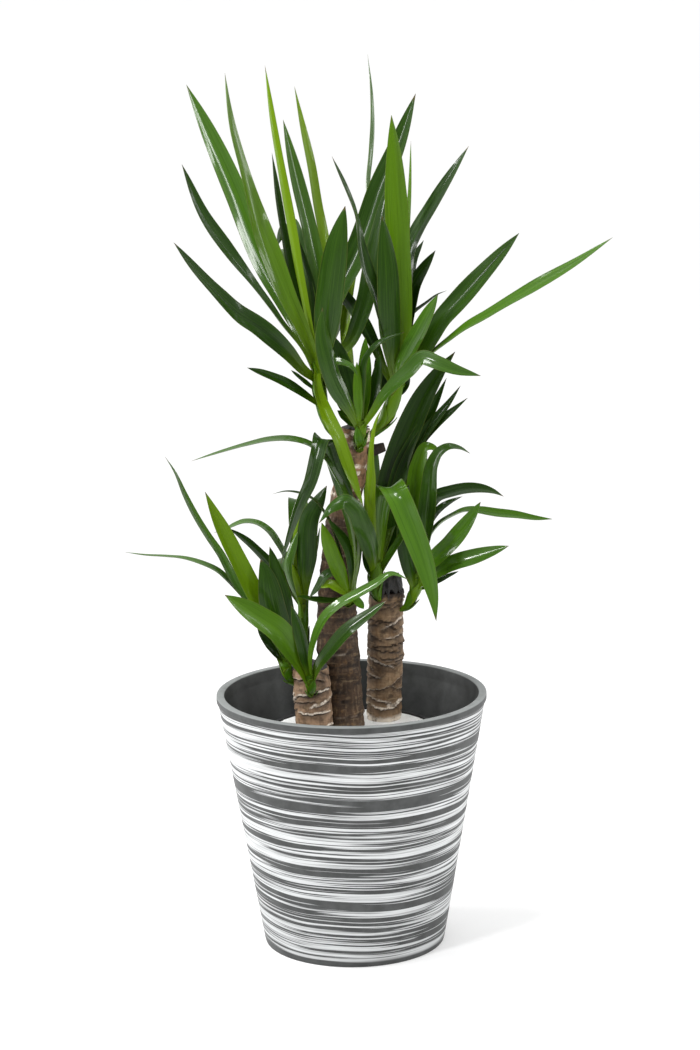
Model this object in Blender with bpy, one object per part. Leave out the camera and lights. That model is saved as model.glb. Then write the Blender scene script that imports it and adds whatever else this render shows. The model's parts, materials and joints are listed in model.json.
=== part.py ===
"""A potted yucca: three sawn canes with leafy shoots, in a nursery pot that stands in a tapered planter.

Units are metres, with +Z up. The origin is the centre of the planter's flat underside.
The leaf tables hold millimetres. Each station is (across, depth, up): across and up are where it shows
on the upright plane through the pot's axis, seen from EYE, and depth is how far behind that plane it lies.
"""

import bmesh
import bpy
import numpy as np
from mathutils import Matrix, Vector

MM = 0.001
GAP = 0.0003

# Planter
PLANTER_HEIGHT = 0.361
PLANTER_FOOT_R = 0.129
PLANTER_BODY_TOP_R = 0.188
PLANTER_LIP_R = 0.190
PLANTER_LIP_HEIGHT = 0.009
PLANTER_LIP_WIDTH = 0.011
PLANTER_WALL = 0.012
PLANTER_FLOOR = 0.010
PLANTER_SIDES = 48

# Nursery pot, root ball and white top layer
POT_FOOT_R = 0.095
POT_TOP_R = 0.1195
POT_RIM_R = 0.1225
POT_TOP = 0.306
POT_WALL = 0.0018
POT_SIDES = 32
DRAIN_HOLES = 6
DRAIN_HOLE_R = 0.007
DRAIN_CIRCLE_R = 0.060
DRESSING_TOP = 0.304
DRESSING_THICKNESS = 0.006
BURIED_BOTTOM = 0.175

# Point that the front view is taken from
EYE = Vector((0.001, -3.515, 1.291))

# Canes: axis stations in millimetres as (across, depth, up), with the bark's radius at each
TALL_AXIS = [(-11, 10, 304), (-15, 10, 380), (-19, 10, 455), (-17, 10, 520), (-13, 10, 575),
             (-5, 10, 632), (7, 10, 686), (11, 10, 736)]
TALL_RADII = (29, 29, 29, 27, 24, 22, 20, 20)
MID_AXIS = [(45, 68, 304), (46, 65, 350), (48, 60, 410), (49, 54, 460), (51, 48, 508)]
MID_RADII = (24, 24.5, 25, 24.5, 24)
SHORT_AXIS = [(-53, -30, 304), (-54, -30, 335), (-55, -30, 365), (-57, -30, 396)]
SHORT_RADII = (25, 26, 26, 25)
CANE_SIDES = 14
CANE_RING_STEP = 0.0115
FOOT_SEARCH_STEPS = 60
SCAR_SPACING = 0.021
SCAR_HEIGHT = 0.0012
TALL_STUB = [(16, 10, 699), (33, 10, 704), (51, 10, 709)]
STUB_R = 9

# Leaf blades
LEAF_SEGMENTS = 9
SHORT_LEAF_SEGMENTS = 5
BEND_REACH = 0.04
LEAF_THICKNESS = 0.0024
LEAF_CHANNEL = 0.16
CHANNEL_SINK = 0.7
LEAF_ROOT_WIDTH = 0.42
LEAF_WIDEST = 0.42
LEAF_FULLNESS = 3.2
STEM_SIDES = 8
STEM_SEGMENTS = 6
ROOT_DEPTH = 0.5
FAR_SEED = 11
FAR_SEGMENTS = 5


def leaf(width, roll, *stations):
    """A blade: full width in mm, roll in degrees at even steps from root to tip, and its stations."""
    return {"width": width * MM, "roll": roll, "stations": stations}


SHOOTS = {
    "shoot_tall_left": {
        "cane": "tall",
        "stem": [(2, 2, 706), (-26, -4, 738), (-37, -4, 785), (-41, -2, 830)],
        "radii": (9, 9, 8.5, 7),
        "far": [(-14, 250, 150), (-4, 300, 95), (9, 240, 50), (-22, 150, 190), (3, 270, 10)],
        "leaves": [
            leaf(33, (12, 10, 12), (-38, 2, 812), (-62, 14, 868), (-85, 22, 915), (-108, 28, 960),
                 (-147, 36, 1060), (-185, 42, 1150), (-210, 46, 1206)),
            leaf(34, (10, 25, 66, 78), (-40, -2, 822), (-62, -10, 880), (-80, -16, 920), (-95, -22, 960),
                 (-113, -28, 1010), (-134, -36, 1085), (-150, -42, 1150), (-158, -46, 1221)),
            leaf(24, (60, 80, 40, 25), (-40, -6, 805), (-62, -18, 850), (-85, -30, 880), (-104, -40, 908),
                 (-127, -50, 940), (-160, -64, 985), (-190, -76, 1030), (-219, -88, 1100)),
            leaf(28, (20, 10, 50, 50), (-42, -8, 795), (-60, -24, 818), (-80, -40, 842), (-100, -54, 862),
                 (-122, -66, 880), (-146, -78, 896), (-172, -90, 922), (-206, -104, 960), (-233, -114, 995)),
            leaf(16, (40, 40), (-36, -4, 768), (-60, -20, 785), (-85, -34, 801), (-112, -46, 813),
                 (-137, -56, 822)),
            leaf(9, (50, 50), (-38, 0, 785), (-56, -2, 800), (-77, -4, 818)),
            leaf(17, (-30, -45, -50), (-40, -2, 826), (-50, 0, 880), (-57, 2, 920), (-64, 4, 960),
                 (-70, 5, 1000), (-83, 6, 1080), (-94, 7, 1150), (-104, 8, 1230)),
            leaf(24, (25, 25), (-36, 2, 824), (-33, 12, 880), (-38, 26, 955), (-46, 34, 1000),
                 (-64, 44, 1080), (-73, 48, 1120), (-81, 52, 1158)),
            leaf(18, (40, 45), (-34, 4, 826), (-27, 18, 880), (-25, 34, 955), (-29, 46, 1000),
                 (-36, 56, 1040), (-44, 66, 1095), (-57, 76, 1160), (-65, 82, 1202)),
            leaf(18, (50, 55), (-40, 4, 822), (-52, 14, 870), (-66, 22, 920), (-75, 28, 960),
                 (-82, 32, 1000), (-88, 36, 1040), (-93, 40, 1080), (-97, 44, 1114)),
            leaf(38, (15, 10, 15), (-36, -8, 808), (-31, -20, 850), (-26, -32, 890), (-20, -42, 935),
                 (-12, -52, 985), (1, -58, 1041)),
            leaf(22, (35, 35, 40), (-40, -4, 828), (-40, -22, 795), (-29, -36, 757), (-14, -42, 725),
                 (-5, -42, 698), (5, -40, 668), (20, -36, 626)),
            leaf(10, (30, 30), (-40, 2, 828), (-43, 10, 880), (-46, 16, 935), (-54, 20, 965), (-62, 24, 995)),
            leaf(14, (50, 50), (-38, -8, 820), (-26, -28, 829), (-8, -36, 828), (6, -40, 822),
                 (15, -42, 809)),
            leaf(34, (20, 20), (-34, 4, 828), (-28, 22, 868), (-18, 38, 905), (-6, 46, 935), (8, 50, 962),
                 (28, 60, 1008), (48, 68, 1065), (72, 76, 1120), (98, 84, 1190)),
            leaf(28, (30, 25), (-36, 2, 824), (-13, 8, 838), (4, 11, 854), (16, 11, 880), (27, 12, 912),
                 (35, 15, 950), (43, 20, 990), (51, 26, 1030), (60, 34, 1072)),
        ],
    },
    "shoot_tall_right": {
        "cane": "tall",
        "stem": [(14, 12, 714), (38, 16, 732), (53, 14, 748), (63, 12, 776), (74, 12, 812)],
        "radii": (8, 9, 11, 9, 7),
        "far": [(2, 260, 160), (-8, 300, 100), (8, 220, 60), (-4, 170, 250), (5, 280, 20)],
        "leaves": [
            leaf(34, (12, 12), (74, 8, 806), (79, 2, 850), (78, -2, 890), (75, -4, 930), (73, -5, 970),
                 (72, -6, 1010), (70, -7, 1055), (68, -9, 1110), (65, -12, 1162)),
            leaf(32, (15, 15), (66, 4, 800), (62, -10, 845), (60, -20, 880), (59, -28, 915), (58, -34, 950),
                 (55, -38, 990), (51, -40, 1027)),
            leaf(16, (50, 60, 78, 60, 75), (74, 18, 808), (64, 50, 880), (50, 80, 950), (38, 105, 1010),
                 (32, 120, 1070), (36, 130, 1110), (39, 138, 1155), (38, 144, 1200), (34, 150, 1243)),
            leaf(20, (50, 60, 35, 80, 50), (68, 4, 800), (58, -8, 845), (46, -22, 895), (40, -28, 925),
                 (31, -34, 952), (22, -38, 988), (16, -38, 1030), (4, -34, 1062), (-16, -30, 1108)),
            leaf(12, (60, 60), (76, 14, 810), (84, 26, 880), (86, 32, 950), (86, 36, 1010), (89, 38, 1060),
                 (91, 40, 1127)),
            leaf(24, (35, 35), (76, 16, 812), (80, 34, 880), (82, 46, 935), (88, 54, 985), (100, 60, 1010),
                 (116, 66, 1036), (132, 72, 1062), (150, 76, 1090), (169, 80, 1119)),
            leaf(22, (30, 30), (76, 18, 810), (80, 46, 870), (84, 66, 925), (92, 80, 965), (107, 92, 993)),
            leaf(26, (30, 30), (76, 14, 806), (78, 26, 850), (84, 38, 895), (93, 48, 932), (108, 56, 957),
                 (123, 62, 979)),
            leaf(30, (50, 35, 25, 30), (76, 6, 800), (92, 0, 822), (106, -4, 840), (118, -8, 862),
                 (132, -10, 886), (150, -12, 906), (170, -14, 928), (195, -16, 955), (218, -18, 980),
                 (237, -20, 1001)),
            leaf(22, (75, 70, 45, 45), (76, 4, 796), (96, -6, 822), (116, -14, 839), (140, -22, 857),
                 (163, -30, 874), (190, -38, 889), (220, -46, 907), (262, -56, 931), (310, -64, 958),
                 (364, -70, 993)),
            leaf(24, (25, 25), (64, -2, 788), (74, -10, 822), (86, -18, 847), (99, -26, 870),
                 (112, -34, 894), (126, -40, 919)),
            leaf(10, (65, 65), (74, 16, 806), (80, 30, 850), (84, 42, 885), (95, 48, 897), (110, 54, 908),
                 (125, 60, 919), (138, 64, 924)),
            leaf(22, (35, 35), (64, 10, 788), (50, 16, 820), (40, 21, 846), (26, 30, 876), (8, 46, 905),
                 (-12, 64, 930), (-36, 76, 956), (-61, 84, 984)),
            leaf(17, (10, 10), (60, 16, 772), (51, 22, 795), (45, 25, 815), (40, 27, 834)),
            leaf(15, (20, 20), (70, 18, 780), (79, 26, 796), (85, 30, 812)),
        ],
    },
    "shoot_tall_front": {
        "cane": "tall",
        "stem": [(14, 8, 700), (17, -14, 716), (19, -18, 746)],
        "radii": (7, 9, 6),
        "far": [],
        "leaves": [
            leaf(27, (25, 25), (14, -18, 738), (2, -32, 764), (-15, -46, 795), (-26, -56, 828),
                 (-33, -62, 866), (-32, -64, 903)),
            leaf(14, (20, 20), (16, -20, 738), (15, -26, 780), (14, -30, 828)),
            leaf(20, (20, 20), (20, -14, 738), (24, -10, 795), (26, -8, 862)),
            leaf(38, (15, 15), (16, -10, 738), (4, -12, 766), (-4, -11, 798), (-12, -7, 836), (-15, -5, 862)),
            leaf(22, (40, 40, 25, 10, 10), (22, -22, 738), (34, -30, 756), (48, -38, 778), (66, -44, 798),
                 (86, -48, 816), (103, -52, 832), (125, -62, 825), (150, -68, 815), (184, -72, 806)),
            leaf(14, (30, 30), (12, -14, 736), (-1, -18, 750), (-14, -20, 761)),
            leaf(16, (25, 25), (16, -14, 742), (6, 6, 790), (3, 22, 828), (-1, 44, 880), (6, 66, 925),
                 (18, 80, 966)),
            leaf(12, (45, 45), (20, -14, 740), (21, -22, 795), (26, -30, 834), (42, -34, 853),
                 (60, -36, 862), (80, -36, 868)),
            leaf(18, (30, 30), (22, -12, 740), (36, -6, 780), (42, -4, 810), (46, -2, 838)),
        ],
    },
    "shoot_tall_low": {
        "cane": "tall",
        "stem": [(-8, 6, 484), (-2, -16, 494), (2, -22, 507)],
        "radii": (7, 8, 6),
        "far": [],
        "leaves": [
            leaf(22, (15, 15), (0, -20, 500), (-11, -32, 526), (-20, -42, 549), (-30, -50, 577),
                 (-38, -54, 604)),
            leaf(18, (35, 35), (2, -20, 504), (4, -28, 545), (-3, -32, 572), (-16, -34, 592),
                 (-29, -34, 609)),
            leaf(13, (25, 25), (3, -20, 504), (7, -24, 532), (12, -18, 561), (18, -12, 588)),
            leaf(16, (60, 60), (0, -20, 497), (-20, -30, 493), (-45, -38, 494), (-75, -44, 500)),
            leaf(16, (30, 30), (-2, -22, 500), (-16, -32, 511), (-30, -38, 516), (-41, -42, 511)),
            leaf(16, (40, 40), (0, -20, 504), (-16, -26, 534), (-32, -32, 530), (-45, -36, 512),
                 (-57, -38, 497)),
            leaf(24, (20, 20, 20, 35, 45), (3, -20, 504), (8, -30, 560), (2, -32, 612), (-8, -28, 652),
                 (-20, -18, 692), (-29, -14, 716), (-36, -30, 724), (-43, -48, 700), (-54, -56, 660),
                 (-68, -60, 630), (-80, -62, 597), (-96, -62, 546)),
            leaf(20, (68, 68), (3, -22, 504), (10, -36, 570), (0, -40, 636), (-18, -38, 672),
                 (-35, -34, 700), (-52, -32, 714), (-78, -30, 722), (-108, -28, 722), (-138, -26, 716),
                 (-175, -24, 706), (-217, -22, 693)),
            leaf(10, (70, 70), (0, -18, 504), (-14, -26, 565), (-30, -30, 612), (-50, -34, 638),
                 (-70, -38, 647), (-88, -40, 649), (-106, -42, 645)),
            leaf(12, (20, 20), (4, -20, 498), (12, -26, 489), (19, -30, 480)),
        ],
    },
    "shoot_mid_front": {
        "cane": "mid",
        "stem": [(46, 38, 488), (37, 20, 500), (35, 13, 520), (37, 12, 550)],
        "radii": (7, 9, 9, 7),
        "far": [(4, 230, 110), (5, 250, 60), (-3, 190, 150), (0, 170, 10)],
        "leaves": [
            leaf(34, (30, 25, 10, 5, 5), (38, 14, 528), (42, 10, 580), (45, 6, 620), (50, 0, 645),
                 (58, -22, 656), (68, -42, 641), (84, -50, 602), (98, -54, 564), (110, -56, 524),
                 (117, -57, 490), (120, -58, 461)),
            leaf(18, (20, 15, 60, 60), (36, 12, 530), (32, 0, 575), (29, -10, 612), (29, -18, 640),
                 (31, -26, 668), (31, -32, 692), (33, -38, 718), (39, -44, 745), (47, -48, 762)),
            leaf(28, (30, 10, 20, 50), (34, 12, 532), (30, -34, 565), (18, -64, 600), (8, -74, 622),
                 (-6, -80, 633), (-22, -84, 626), (-42, -86, 603)),
            leaf(38, (15, 15), (42, 18, 528), (46, 44, 575), (52, 54, 622), (60, 60, 665), (73, 64, 706),
                 (88, 68, 742), (105, 70, 778), (128, 72, 814), (149, 74, 840)),
            leaf(8, (30, 30), (32, 10, 524), (24, 4, 540), (18, 0, 562)),
            leaf(14, (45, 45), (40, 10, 530), (58, 0, 560), (78, -4, 592), (90, -4, 618)),
            leaf(28, (25, 25), (42, 16, 530), (58, 30, 575), (72, 30, 622), (84, 30, 656)),
            leaf(20, (15, 15), (42, 16, 535), (56, 46, 620), (74, 58, 685), (98, 64, 728), (116, 66, 760),
                 (137, 68, 804)),
            leaf(18, (15, 15), (41, 16, 535), (60, 44, 620), (78, 54, 680), (100, 60, 720), (122, 62, 748),
                 (140, 64, 770), (156, 66, 793)),
            leaf(18, (20, 20), (41, 16, 532), (62, 40, 610), (80, 56, 672), (97, 62, 712), (122, 64, 740),
                 (145, 64, 759), (166, 64, 776)),
        ],
    },
    "shoot_mid_right": {
        "cane": "mid",
        "stem": [(62, 42, 476), (80, 36, 484), (90, 32, 504), (95, 30, 530)],
        "radii": (6, 8, 8, 6),
        "far": [(0, 230, 110), (1, 200, 50), (4, 240, 150), (-1, 170, 5)],
        "leaves": [
            leaf(26, (25, 25), (92, 28, 518), (104, 16, 536), (120, 8, 552), (137, 2, 568), (152, -4, 585),
                 (167, -8, 605), (183, -12, 630)),
            leaf(24, (20, 20), (90, 28, 508), (108, 16, 522), (130, 8, 538), (150, 0, 546), (172, -6, 552),
                 (196, -12, 559), (222, -18, 567)),
            leaf(10, (45, 45), (90, 32, 505), (106, 34, 510), (122, 36, 518), (138, 38, 526), (152, 40, 532)),
            leaf(20, (60, 78, 78, 45, 40), (94, 30, 524), (104, 32, 562), (114, 34, 588), (126, 36, 602),
                 (142, 38, 612), (160, 40, 619), (180, 42, 618), (205, 44, 614), (232, 46, 611),
                 (260, 50, 606), (283, 52, 604)),
            leaf(26, (50, 50, 45, 45), (94, 34, 526), (98, 54, 575), (108, 64, 615), (122, 70, 638),
                 (142, 74, 645), (162, 78, 649), (182, 80, 649), (202, 82, 644), (215, 84, 637)),
            leaf(16, (45, 45), (94, 32, 522), (100, 42, 570), (114, 48, 606), (126, 52, 621),
                 (141, 56, 631), (158, 58, 638)),
            leaf(28, (20, 15, 25, 40), (92, 34, 520), (87, 37, 560), (89, 39, 610), (93, 37, 650),
                 (98, 35, 686), (108, 33, 708), (119, 26, 706), (124, 20, 692)),
            leaf(26, (20, 20, 50, 60), (95, 30, 526), (103, 28, 570), (108, 26, 615), (112, 22, 652),
                 (117, 18, 684), (126, 14, 700), (140, 10, 708), (155, 8, 706), (169, 6, 698)),
            leaf(22, (25, 25), (90, 28, 505), (82, 20, 540), (75, 12, 575), (70, 8, 608)),
        ],
    },
    "shoot_short_front": {
        "cane": "short",
        "stem": [(-55, -36, 354), (-57, -60, 364), (-58, -65, 386)],
        "radii": (4, 7, 6),
        "far": [],
        "leaves": [
            leaf(36, (25, 25), (-59, -62, 376), (-72, -74, 404), (-86, -86, 430), (-102, -96, 451),
                 (-126, -106, 469), (-150, -114, 486), (-175, -120, 503)),
            leaf(20, (30, 30), (-59, -62, 378), (-62, -70, 402), (-68, -76, 431), (-75, -80, 460),
                 (-82, -82, 486)),
            leaf(16, (50, 45, 30, 40), (-56, -64, 378), (-57, -78, 412), (-48, -86, 447), (-34, -90, 472),
                 (-14, -90, 489), (10, -86, 502), (35, -80, 516), (58, -74, 530), (82, -70, 521)),
            leaf(21, (30, 30), (-55, -64, 376), (-46, -76, 400), (-27, -84, 425), (-8, -88, 447),
                 (12, -88, 463), (33, -86, 478), (50, -84, 491)),
        ],
    },
    "shoot_short_left": {
        "cane": "short",
        "stem": [(-66, -28, 368), (-86, -30, 382), (-93, -32, 412)],
        "radii": (6, 8, 6),
        "far": [(-8, 190, 70), (-5, 210, 120), (-11, 150, 50)],
        "leaves": [
            leaf(28, (30, 30), (-92, -34, 410), (-97, -42, 432), (-111, -50, 464), (-129, -56, 496),
                 (-151, -62, 543), (-173, -68, 590), (-185, -72, 616), (-199, -74, 650)),
            leaf(36, (15, 15), (-91, -36, 408), (-94, -44, 432), (-101, -52, 460), (-109, -58, 490),
                 (-113, -62, 512), (-117, -64, 532), (-124, -66, 553)),
            leaf(24, (20, 20), (-89, -32, 408), (-86, -36, 440), (-88, -40, 470), (-92, -42, 495),
                 (-99, -44, 522), (-105, -46, 547), (-111, -48, 571)),
            leaf(16, (50, 45, 50, 60), (-93, -32, 410), (-114, -28, 458), (-138, -24, 490), (-153, -20, 509),
                 (-166, -16, 533), (-179, -12, 560), (-197, -8, 588), (-213, -4, 616), (-228, 0, 648),
                 (-240, 2, 678), (-253, 4, 700)),
            leaf(14, (50, 50, 55, 75, 70), (-92, -30, 408), (-106, -26, 444), (-130, -22, 478),
                 (-151, -18, 504), (-167, -14, 522), (-184, -10, 538), (-206, -4, 549), (-232, 4, 557),
                 (-258, 10, 560), (-287, 16, 562), (-313, 20, 566)),
            leaf(22, (25, 25), (-90, -34, 402), (-104, -44, 424), (-118, -52, 442), (-131, -58, 460)),
            leaf(9, (40, 40), (-89, -36, 402), (-101, -52, 426), (-116, -60, 447)),
        ],
    },
    "shoot_short_back": {
        "cane": "short",
        "stem": [(-59, -10, 376), (-64, 8, 408), (-66, 8, 455), (-66, 4, 500)],
        "radii": (6, 7.5, 7, 5.5),
        "far": [(0, 210, 90), (-8, 190, 40), (-4, 160, 130)],
        "leaves": [
            leaf(30, (15, 15), (-65, 0, 490), (-63, -4, 525), (-60, -6, 556), (-59, -8, 586),
                 (-54, -10, 613), (-42, -10, 634), (-30, -8, 656)),
            leaf(20, (65, 65), (-66, 6, 490), (-84, 14, 545), (-98, 18, 573), (-112, 22, 594),
                 (-128, 26, 605), (-146, 30, 607), (-161, 34, 602), (-176, 38, 594), (-188, 40, 592)),
            leaf(18, (45, 45), (-66, 6, 480), (-82, 14, 508), (-98, 20, 532), (-111, 24, 547),
                 (-126, 28, 563), (-142, 32, 579), (-156, 36, 590), (-168, 38, 598)),
            leaf(16, (30, 30), (-66, 2, 486), (-80, -2, 520), (-85, -4, 546), (-78, -6, 571), (-71, -8, 592)),
            leaf(12, (30, 30), (-65, 0, 484), (-72, -6, 515), (-80, -10, 546)),
            leaf(8, (50, 50), (-64, 2, 490), (-58, 0, 520), (-51, -2, 546), (-45, -4, 572), (-40, -4, 599)),
            leaf(14, (20, 20), (-66, 6, 492), (-72, 6, 550), (-72, 4, 590), (-66, 2, 622)),
        ],
    },
}

# Colours, as linear red, green and blue
CHARCOAL = (0.055, 0.062, 0.063)
NURSERY_BLACK = (0.012, 0.012, 0.013)
EARTH = (0.035, 0.022, 0.014)
CHALK = (0.86, 0.86, 0.85)
BARK_DARK = (0.085, 0.048, 0.028)
BARK_PALE = (0.20, 0.13, 0.085)
SEAL = (0.010, 0.010, 0.010)
LEAF_GREEN = (0.055, 0.16, 0.022)


def clear_scene():
    for obj in list(bpy.data.objects):
        bpy.data.objects.remove(obj, do_unlink=True)


def material(name, colour, roughness, metallic=0.0):
    made = bpy.data.materials.new(name)
    made.use_nodes = True
    shader = made.node_tree.nodes["Principled BSDF"]
    shader.inputs["Base Color"].default_value = (*colour, 1.0)
    shader.inputs["Roughness"].default_value = roughness
    shader.inputs["Metallic"].default_value = metallic
    return made


def as_object(name, mesh, finish=None):
    obj = bpy.data.objects.new(name, mesh)
    bpy.context.scene.collection.objects.link(obj)
    if finish is not None:
        mesh.materials.append(finish)
    return obj


def from_bmesh(name, shape, finish=None, smooth_angle=None):
    mesh = bpy.data.meshes.new(name)
    bmesh.ops.recalc_face_normals(shape, faces=shape.faces)
    shape.to_mesh(mesh)
    shape.free()
    if smooth_angle is not None:
        mesh.shade_smooth()
        mesh.set_sharp_from_angle(angle=np.radians(smooth_angle))
    return as_object(name, mesh, finish)


def place(station):
    """World position of a station that is given in millimetres as it shows from EYE."""
    across, depth, up = (value * MM for value in station)
    on_plane = Vector((across, 0.0, up))
    return EYE + (on_plane - EYE) * ((depth - EYE.y) / -EYE.y)


def smooth_path(points, count, bend_reach=0.0):
    """count + 1 points along a smooth curve through the given points, as an array.

    They are evenly spaced, or closer where the curve turns: a radian of turn counts as bend_reach of length.
    """
    knots = np.array([tuple(point) for point in points])
    gaps = np.linalg.norm(np.diff(knots, axis=0), axis=1)
    at = np.concatenate([[0.0], np.cumsum(gaps)])
    slopes = np.gradient(knots, at, axis=0)
    fine = []
    for i, gap in enumerate(gaps):
        for t in np.linspace(0, 1, 16, endpoint=False):
            a, b = 2 * t**3 - 3 * t**2 + 1, t**3 - 2 * t**2 + t
            c, d = 3 * t**2 - 2 * t**3, t**3 - t**2
            fine.append(a * knots[i] + b * gap * slopes[i] + c * knots[i + 1] + d * gap * slopes[i + 1])
    fine = np.array(fine + [knots[-1]])
    steps = np.diff(fine, axis=0)
    lengths = np.linalg.norm(steps, axis=1)
    ways = steps / lengths[:, None]
    turns = np.linalg.norm(np.diff(ways, axis=0, prepend=ways[:1]), axis=1)
    run = np.concatenate([[0.0], np.cumsum(lengths + bend_reach * turns)])
    even = np.linspace(0, run[-1], count + 1)
    return np.stack([np.interp(even, run, fine[:, axis]) for axis in range(3)], axis=1)


def tangents_of(path):
    slope = np.gradient(path, axis=0)
    return slope / np.linalg.norm(slope, axis=1)[:, None]


def loft(rings, tip=None):
    """A closed bmesh through rings of equal counts, with flat ends or one pointed end."""
    shape = bmesh.new()
    rows = [[shape.verts.new(tuple(point)) for point in ring] for ring in rings]
    count = len(rows[0])
    for low, high in zip(rows, rows[1:]):
        for i in range(count):
            j = (i + 1) % count
            # Alternate quads lean to opposite sides, so both faces of a blade split alike
            if i % 2 == 0:
                shape.faces.new((low[i], low[j], high[j]))
                shape.faces.new((low[i], high[j], high[i]))
            else:
                shape.faces.new((low[i], low[j], high[i]))
                shape.faces.new((low[j], high[j], high[i]))
    shape.faces.new(rows[0][::-1])
    if tip is None:
        shape.faces.new(rows[-1])
    else:
        point = shape.verts.new(tuple(tip))
        for i in range(count):
            shape.faces.new((rows[-1][i], rows[-1][(i + 1) % count], point))
    return shape


def tube_rings(path, radii, sides, relief=None):
    """Rings square to the path; relief(height, angle) adds to the radius."""
    tangents = tangents_of(path)
    rings = []
    for centre, tangent, radius in zip(path, tangents, radii):
        side = np.cross(tangent, (0.0, 1.0, 0.0))
        side /= np.linalg.norm(side)
        front = np.cross(side, tangent)
        ring = []
        for turn in np.arange(sides) * 2 * np.pi / sides:
            out = radius + (relief(centre[2], turn) if relief else 0.0)
            ring.append(centre + out * (np.cos(turn) * side + np.sin(turn) * front))
        rings.append(ring)
    return rings


def spread(values, count):
    """The values, taken as even steps, read at count + 1 even steps."""
    return np.interp(np.linspace(0, len(values) - 1, count + 1), np.arange(len(values)), values)


def turned(name, profile, sides, finish, smooth_angle=40):
    """A solid of revolution about Z; the profile starts and ends on the axis."""
    shape = bmesh.new()
    points = [shape.verts.new((radius, 0.0, height)) for radius, height in profile]
    edges = [shape.edges.new(pair) for pair in zip(points, points[1:])]
    bmesh.ops.spin(shape, geom=points + edges, cent=(0, 0, 0), axis=(0, 0, 1), angle=2 * np.pi,
                   steps=sides, use_merge=True)
    bmesh.ops.remove_doubles(shape, verts=shape.verts, dist=0.00001)
    return from_bmesh(name, shape, finish, smooth_angle)


def apply_boolean(obj, operation, other, solver="EXACT"):
    """Unites or cuts obj with an object or a whole collection, and removes what was used."""
    modifier = obj.modifiers.new(operation.lower(), "BOOLEAN")
    modifier.operation = operation
    modifier.solver = solver
    if isinstance(other, bpy.types.Collection):
        modifier.operand_type = "COLLECTION"
        modifier.collection = other
        used = list(other.objects)
    else:
        modifier.object = other
        used = [other]
    with bpy.context.temp_override(object=obj, active_object=obj):
        bpy.ops.object.modifier_apply(modifier=modifier.name)
    for helper in used:
        bpy.data.objects.remove(helper, do_unlink=True)
    if isinstance(other, bpy.types.Collection):
        bpy.data.collections.remove(other)


def keep_outer_skin(obj):
    """Keeps the largest closed skin: small hollows that fusing sealed are filled, loose scraps go."""
    shape = bmesh.new()
    shape.from_mesh(obj.data)
    unseen = set(shape.faces)
    skins = []
    while unseen:
        skin = {unseen.pop()}
        front = list(skin)
        while front:
            face = front.pop()
            found = {other for edge in face.edges for other in edge.link_faces} & unseen
            unseen -= found
            skin |= found
            front.extend(found)
        skins.append(skin)
    largest = max(skins, key=len)
    scraps = [face for skin in skins if skin is not largest for face in skin]
    bmesh.ops.delete(shape, geom=scraps, context="FACES")
    shape.to_mesh(obj.data)
    shape.free()


def bark_relief(seed):
    """Uneven leaf-scar rings: a sharp step at each scar that fades upwards, tilted round the cane."""
    draw = np.random.default_rng(seed)
    phase = draw.uniform(0, 2 * np.pi, 3)

    def relief(height, turn):
        tilt = 0.004 * np.sin(turn + phase[0]) + 0.003 * np.sin(2 * turn + phase[1])
        along = (height + tilt) / SCAR_SPACING
        fade = 1.0 - along % 1.0
        lump = 0.5 * np.sin(3 * turn + 40 * height + phase[2])
        return SCAR_HEIGHT * (fade * 1.2 - 0.6 + 0.6 * lump)

    return relief


CANES = {
    "tall": (TALL_AXIS, TALL_RADII, 3),
    "mid": (MID_AXIS, MID_RADII, 5),
    "short": (SHORT_AXIS, SHORT_RADII, 8),
}


def cane_shape(cane, extra=0.0):
    """The cane's solid from its buried end to its sawn top; extra makes a fatter copy for cutting."""
    axis, radii, seed = CANES[cane]
    above = [place(station) for station in axis]
    length = sum((b - a).length for a, b in zip(above, above[1:]))
    count = round(length / CANE_RING_STEP)
    path = smooth_path(above, count)
    widths = spread([radius * MM for radius in radii], count) + extra
    rings = [ring for ring, centre in zip(tube_rings(path, widths, CANE_SIDES, bark_relief(seed)), path)
             if centre[2] > DRESSING_TOP + 0.5 * CANE_RING_STEP]
    buried = [foot_ring(cane, extra, height) for height in (BURIED_BOTTOM - extra, DRESSING_TOP)]
    return loft(buried + rings)


def foot_ring(cane, extra, height):
    """A level ring round the cane's buried end, in step with the rings of the bark above it."""
    foot, radius = foot_of(cane)
    return [(foot[0] - (radius + extra) * np.cos(turn), foot[1] + (radius + extra) * np.sin(turn), height)
            for turn in np.arange(CANE_SIDES) * 2 * np.pi / CANE_SIDES]


def foot_of(cane):
    """Where the cane's axis leaves the white layer, and its radius there."""
    axis, radii, _ = CANES[cane]
    path = smooth_path([place(station) for station in axis], FOOT_SEARCH_STEPS)
    return [np.interp(DRESSING_TOP, path[:, 2], path[:, side]) for side in (0, 1)], radii[0] * MM


def build_cane(cane, finish):
    obj = from_bmesh(f"cane_{cane}", cane_shape(cane), finish, 50)
    if cane == "tall":
        path = smooth_path([place(station) for station in TALL_STUB], 3)
        stub = from_bmesh("stub", loft(tube_rings(path, [STUB_R * MM] * len(path), 10)))
        apply_boolean(obj, "UNION", stub)
    return obj


def build_cap(cane, finish, rise, share):
    """The seal on a sawn top: a low uneven dome, a little clear of the wood."""
    axis, radii, _ = CANES[cane]
    top = place(axis[-1])
    radius = radii[-1] * MM * share
    profile = [(1.0, 0.0), (1.0, 0.55), (0.86, 0.85), (0.5, 1.0)]
    rings = []
    for width, height in profile:
        ring = []
        for turn in np.arange(14) * 2 * np.pi / 14:
            out = radius * width * (1 + 0.04 * np.sin(3 * turn))
            wave = 1 + (0.12 * np.sin(2 * turn + 1) if height > 0 else 0.0)
            ring.append((top.x + out * np.cos(turn), top.y + out * np.sin(turn),
                         top.z + GAP + cap_lift(cane) + rise * height * wave))
        rings.append(ring)
    return from_bmesh(f"cap_{cane}", loft(rings), finish, 50)


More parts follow.
